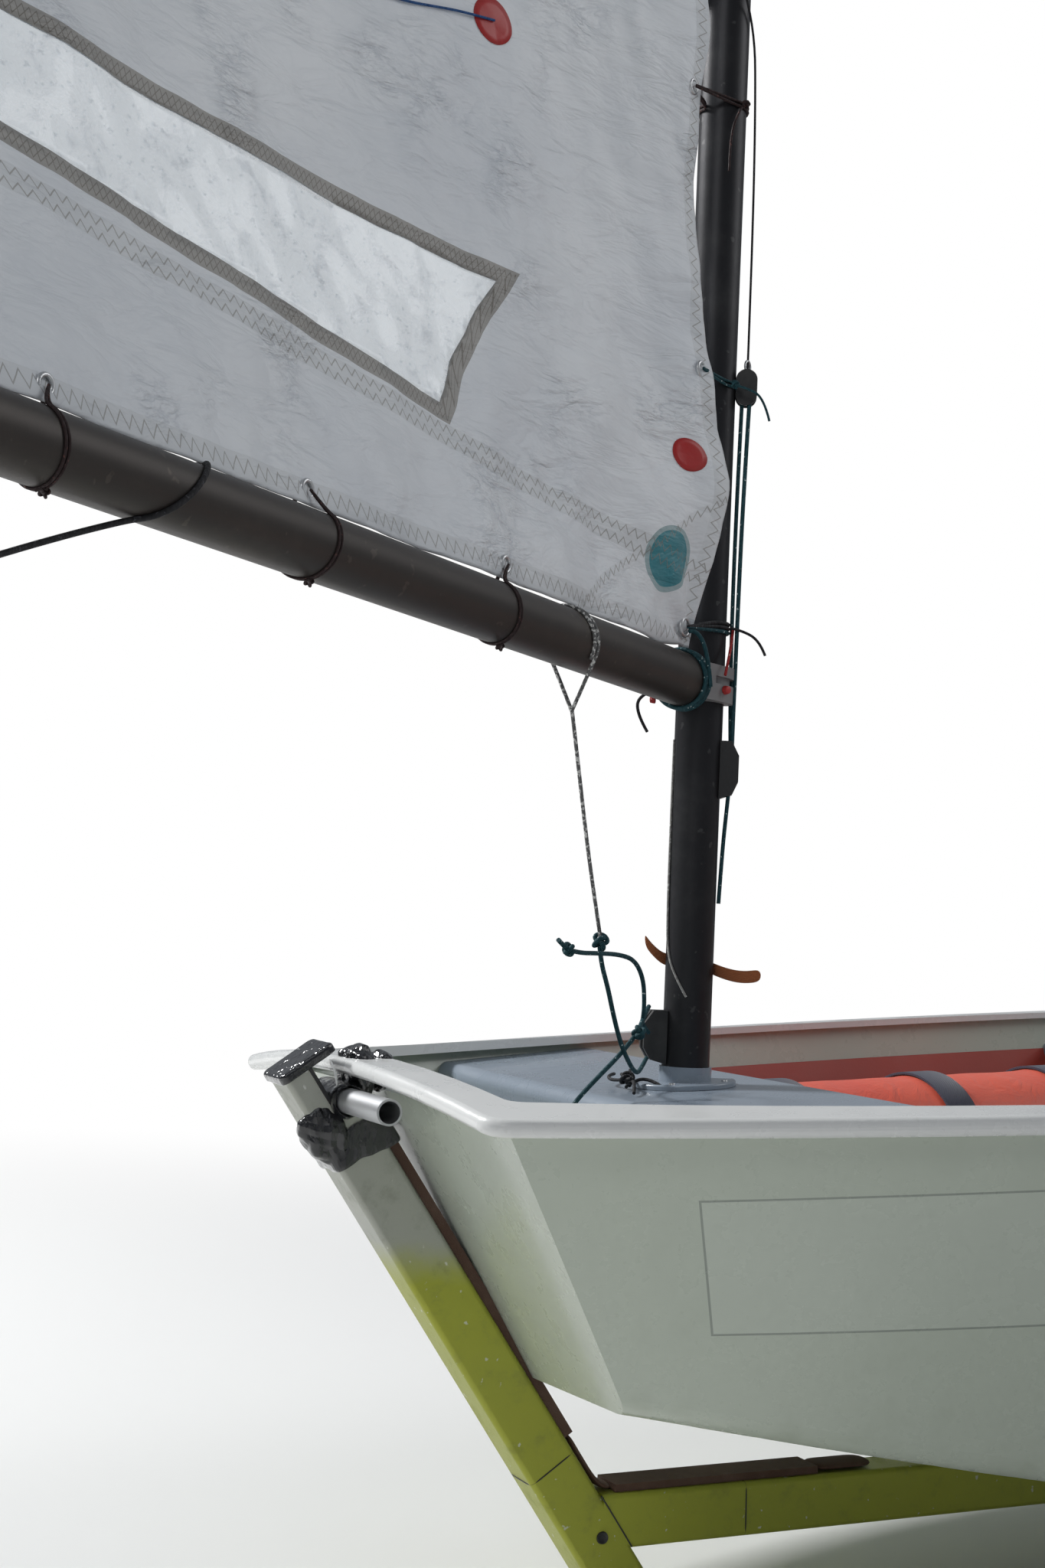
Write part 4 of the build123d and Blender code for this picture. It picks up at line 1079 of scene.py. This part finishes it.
def makeTread(word):
    # low blocks in two rows about the tyre
    low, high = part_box(f"tyre_{word}")
    middle = (Vector(low) + Vector(high)) / 2
    out = (high[2] - low[2]) / 2 - tread["size"][2] * 0.62
    bm = bmesh.new()
    for row, offset in enumerate(tread["rows"]):
        slant = Matrix.Rotation(tread["turn"] if row else -tread["turn"], 4, "Z")
        for step in range(tread["blocks"]):
            turn = Matrix.Rotation(math.tau * (step + row * 0.5) / tread["blocks"], 4, "Y")
            place = turn @ Matrix.Translation((0, offset, out)) @ slant
            block = bmesh.ops.create_cube(bm, size=1.0, matrix=place @ Matrix.Diagonal((*tread["size"], 1)))
            for vertex in block["verts"]:
                drawn = 1 - max(0.0, abs(vertex.co.y) - 0.01) * 0.9
                vertex.co.x *= drawn
                vertex.co.z *= drawn
    bevelAll(bm, bm.edges[:], 0.0008, 1)
    fromBmesh(f"tread_{word}", bm, Matrix.Translation(middle), "tyre", f"wheel_{word}_turning", smooth=False)


makeStraps()
for word in ("port", "starboard"):
    makeTread(word)
print("straps and treads made")


def boltHead(name, place, size, finish="steel"):
    bm = bmesh.new()
    bmesh.ops.create_cone(bm, cap_ends=True, segments=24, radius1=size, radius2=size * 0.86, depth=size * 0.55)
    top = max(bm.faces, key=lambda face: face.calc_center_median().z)
    bmesh.ops.inset_individual(bm, faces=[top], thickness=size * 0.35, depth=-size * 0.22)
    bevelAll(bm, [edge for edge in bm.edges if edge.calc_length() < size * 0.3], size * 0.05, 2)
    fromBmesh(name, bm, hullFrame @ place, finish, boat)


beam = {"half": 0.0252, "flat": 0.0208, "joint": 0.0013, "weld": 0.0015}
pads = {"corner": ((2.1040, 0.0930), (2.0967, 0.0803), (2.0890, 0.0673), (2.0812, 0.0543), (2.0745, 0.0455),
                   (2.0680, 0.0408), (2.0590, 0.0389)), "end": (0.2182, 0.235, 0.26, 0.285)}
thwartTies = (((2.052, 0.060), (2.036, 0.030), (2.024, -0.004), (2.020, -0.030)),
              ((2.044, 0.030), (2.030, 0.004), (2.012, 0.006), (2.006, 0.024)),
              ((2.030, 0.010), (2.034, -0.020), (2.028, -0.046), (2.012, -0.062)),
              ((2.036, 0.012), (2.016, -0.012), (2.010, -0.034), (2.000, -0.052)))


def makeBolts():
    # bolts through the corner piece, the collar and the gudgeons
    for sign, word in ((1, "Port"), (-1, "Starboard")):
        place = Matrix.Translation((2.075, sign * beam["half"], -0.002)) @ Matrix.Rotation(-sign * math.pi / 2, 4, "X")
        boltHead(f"elbowBolt{word}", place, 0.0062, "black")
    for number in range(4):
        spot = polar(0.039, 45 + 90 * number, 0.4036) + Vector((1.969, 0, 0))
        boltHead(f"collarScrew{number + 1}", Matrix.Translation(spot), 0.0032)
    for level, high, back in (("Upper", 0.300, -0.0014), ("Lower", 0.120, 0.0111)):
        for sign, word in ((1, "Port"), (-1, "Starboard")):
            place = Matrix.Translation((back, sign * 0.024, high)) @ Matrix.Rotation(-math.pi / 2, 4, "Y")
            boltHead(f"gudgeonBolt{level}{word}", place, 0.0042)


def makeDollyLines():
    # dark lines where the tubes meet the corner piece, and the ends of the pads
    half, flat = beam["half"], beam["flat"]
    corners = [(half, a) for a in (-flat, 0, flat)] + [(a, half) for a in (flat, 0, -flat)]
    corners += [(-half, a) for a in (flat, 0, -flat)] + [(a, -half) for a in (-flat, 0, flat)]
    path = [(x, y, 0) for x, y in corners]
    beamEnd = beamFrame @ Matrix.Translation((-0.1372, 0, -0.025)) @ Matrix.Rotation(math.pi / 2, 4, "Y")
    for word, place in (("Arm", armFrame @ Matrix.Translation((0, 0, 0.0362))), ("Beam", beamEnd)):
        rope(f"joint{word}", path, beam["joint"], "black", place, boat, closed=True)
    for word, across in (("Port", half), ("Starboard", -half)):
        path = [(2.0752, across, 0.0356), (2.060, across, 0.0107), (2.0453, across, -0.0141)]
        rope(f"weld{word}", path, beam["weld"], "black", hullFrame, boat)
    strip("padCorner", [(x, 0, z) for x, z in pads["corner"]], (0, 1, 0), 0.039, 0.0070, "strip", hullFrame)
    strip("padEnd", [(-x, 0, 0.0040) for x in pads["end"]], (0, 1, 0), 0.0395, 0.0076, "strip", beamFrame)


def makeThwartTies():
    # short dark ends that lie on the thwart before the mast
    for number, path in enumerate(thwartTies):
        path = [(x, y, 0.4016 + 0.009 * math.sin(1.7 * step + number) ** 2) for step, (x, y) in enumerate(path)]
        rope(f"thwartTie{number + 1}", path, 0.0032, "darkTie", hullFrame, boat)
    knot("thwartTieKnot", (2.028, -0.002, 0.4075), 0.008, 0.0032, "darkTie", place=hullFrame, body=boat)


def makeBagGlow():
    # painted bounce light: a red band on the inside of both topsides, between the mid frame and the mast thwart,
    # standing for the orange bags' glow
    mesh = copyNode("hull_shell", "bagGlowBand")
    bm = bmesh.new()
    bm.from_mesh(mesh)
    bmesh.ops.transform(bm, matrix=hullFrame.inverted(), verts=bm.verts)
    for place, way in (((1.870, 0, 0), (1, 0, 0)), ((1.132, 0, 0), (-1, 0, 0)), ((1.132, 0, 0.352), (-0.019, 0, 1)),
                       ((0, 0, 0.100), (0, 0, -1))):
        bmesh.ops.bisect_plane(bm, geom=bm.verts[:] + bm.edges[:] + bm.faces[:], dist=1e-6, plane_co=place,
                               plane_no=way, clear_outer=True)
    bm.normal_update()
    outer = []
    for face in bm.faces:
        across = face.calc_center_median().y
        if face.normal.y * across > -0.2 * abs(across):
            outer.append(face)
    bmesh.ops.delete(bm, geom=outer, context="FACES")
    for vertex in bm.verts:
        vertex.co += vertex.normal * 0.0004
    bmesh.ops.transform(bm, matrix=hullFrame, verts=bm.verts)
    bm.to_mesh(mesh)
    bm.free()
    addPiece("bagGlowBand", mesh, "bagGlow", boat)


def makeSpots():
    # two red telltale discs stuck to the cloth, with the upper one's thread
    for number, (x, z, size) in enumerate(spots.values()):
        bm = bmesh.new()
        bmesh.ops.create_circle(bm, cap_ends=True, cap_tris=True, segments=40, radius=size)
        bmesh.ops.subdivide_edges(bm, edges=bm.edges[:], cuts=2, use_grid_fill=True)
        for vertex in bm.verts:
            vertex.co = onSail(x + vertex.co.x, z + vertex.co.y) + Vector((0, 0.0011, 0))
        thicken(fromBmesh(f"telltaleDisc{number + 1}", bm, rigFrame, "plug", "rig"), 0.0003, 1)
    x, z, _ = spots["upper"]
    path = []
    for step in range(7):
        spot = onSail(x + 0.022 * step, z + 0.002 * math.sin(step) - 0.0035 * step)
        path.append(spot + Vector((0, 0.0025, 0)))
    rope("telltaleThread", path, 0.0022, "thread")


makeBolts()
makeDollyLines()
makeThwartTies()
makeBagGlow()
makeSpots()
print("small trim made")


stage = {"floor": (0.80, 0.80, 0.79), "fadeFrom": 1.9, "fadeTo": 4.6, "sky": (0.84, 0.89, 0.96), "skyLight": 0.22}
# each lamp: its power, its size, where it stands and what it is aimed at
lamps = {"sun": (400, 1.0, (3.7, -3.9, 4.4), (0.2, 0, 0.8)), "fill": (32, 1.4, (3.9, 3.4, 3.4), (0.2, 0, 0.8)),
         "back": (60, 3.0, (-4.2, 1.0, 4.0), (0, 0, 0.6))}


def makeFloor():
    # a pale floor that the camera sees fade to white away from the boat
    bm = bmesh.new()
    bmesh.ops.create_circle(bm, cap_ends=True, segments=96, radius=30.0)
    mesh = bpy.data.meshes.new("floor")
    bm.to_mesh(mesh)
    bm.free()
    floor = bpy.data.objects.new("floor", mesh)
    bpy.context.collection.objects.link(floor)
    floor.location = (0, 0, -0.0005)
    ground = Finish("pale floor", stage["floor"], 0.9)
    floor.data.materials.append(ground.material)
    x, y, _ = ground.axes(ground.place())
    share = ground.ramp((x * x + y * y).root(), stage["fadeFrom"], stage["fadeTo"])
    glow = ground.node("ShaderNodeEmission", {}, {"Color": (1, 1, 1, 1), "Strength": 1.0})
    both = ground.node("ShaderNodeMixShader", {}, {0: share * ground.node("ShaderNodeLightPath"),
                                                   1: Value(ground, ground.shader.outputs[0]), 2: glow})
    ground.tree.links.new(both.socket, ground.tree.nodes["Material Output"].inputs[0])


def makeLamps():
    for name, (power, size, place, aim) in lamps.items():
        lamp = bpy.data.lights.new(name, "AREA")
        lamp.energy = power
        lamp.size = size
        holder = bpy.data.objects.new(name, lamp)
        holder.location = place
        holder.rotation_euler = (Vector(place) - Vector(aim)).to_track_quat("Z", "Y").to_euler()
        bpy.context.collection.objects.link(holder)


def makeWorld():
    # a soft sky for light, and plain white where the camera looks past the boat or through the window
    world = bpy.data.worlds.new("studio")
    bpy.context.scene.world = world
    world.use_nodes = True
    tree = world.node_tree
    sky = tree.nodes["Background"]
    sky.inputs[0].default_value = (*stage["sky"], 1)
    sky.inputs[1].default_value = stage["skyLight"]
    plain = tree.nodes.new("ShaderNodeBackground")
    plain.inputs[0].default_value = (1, 1, 1, 1)
    seen = tree.nodes.new("ShaderNodeLightPath")
    either = tree.nodes.new("ShaderNodeMath")
    either.operation = "MAXIMUM"
    choice = tree.nodes.new("ShaderNodeMixShader")
    for start, end in ((seen.outputs["Is Camera Ray"], either.inputs[0]), (either.outputs[0], choice.inputs[0]),
                       (seen.outputs["Is Transmission Ray"], either.inputs[1]), (sky.outputs[0], choice.inputs[1]),
                       (plain.outputs[0], choice.inputs[2]),
                       (choice.outputs[0], tree.nodes["World Output"].inputs[0])):
        tree.links.new(start, end)


makeFloor()
makeLamps()
makeWorld()
bpy.context.scene.view_settings.view_transform = "Standard"
print("stage set")
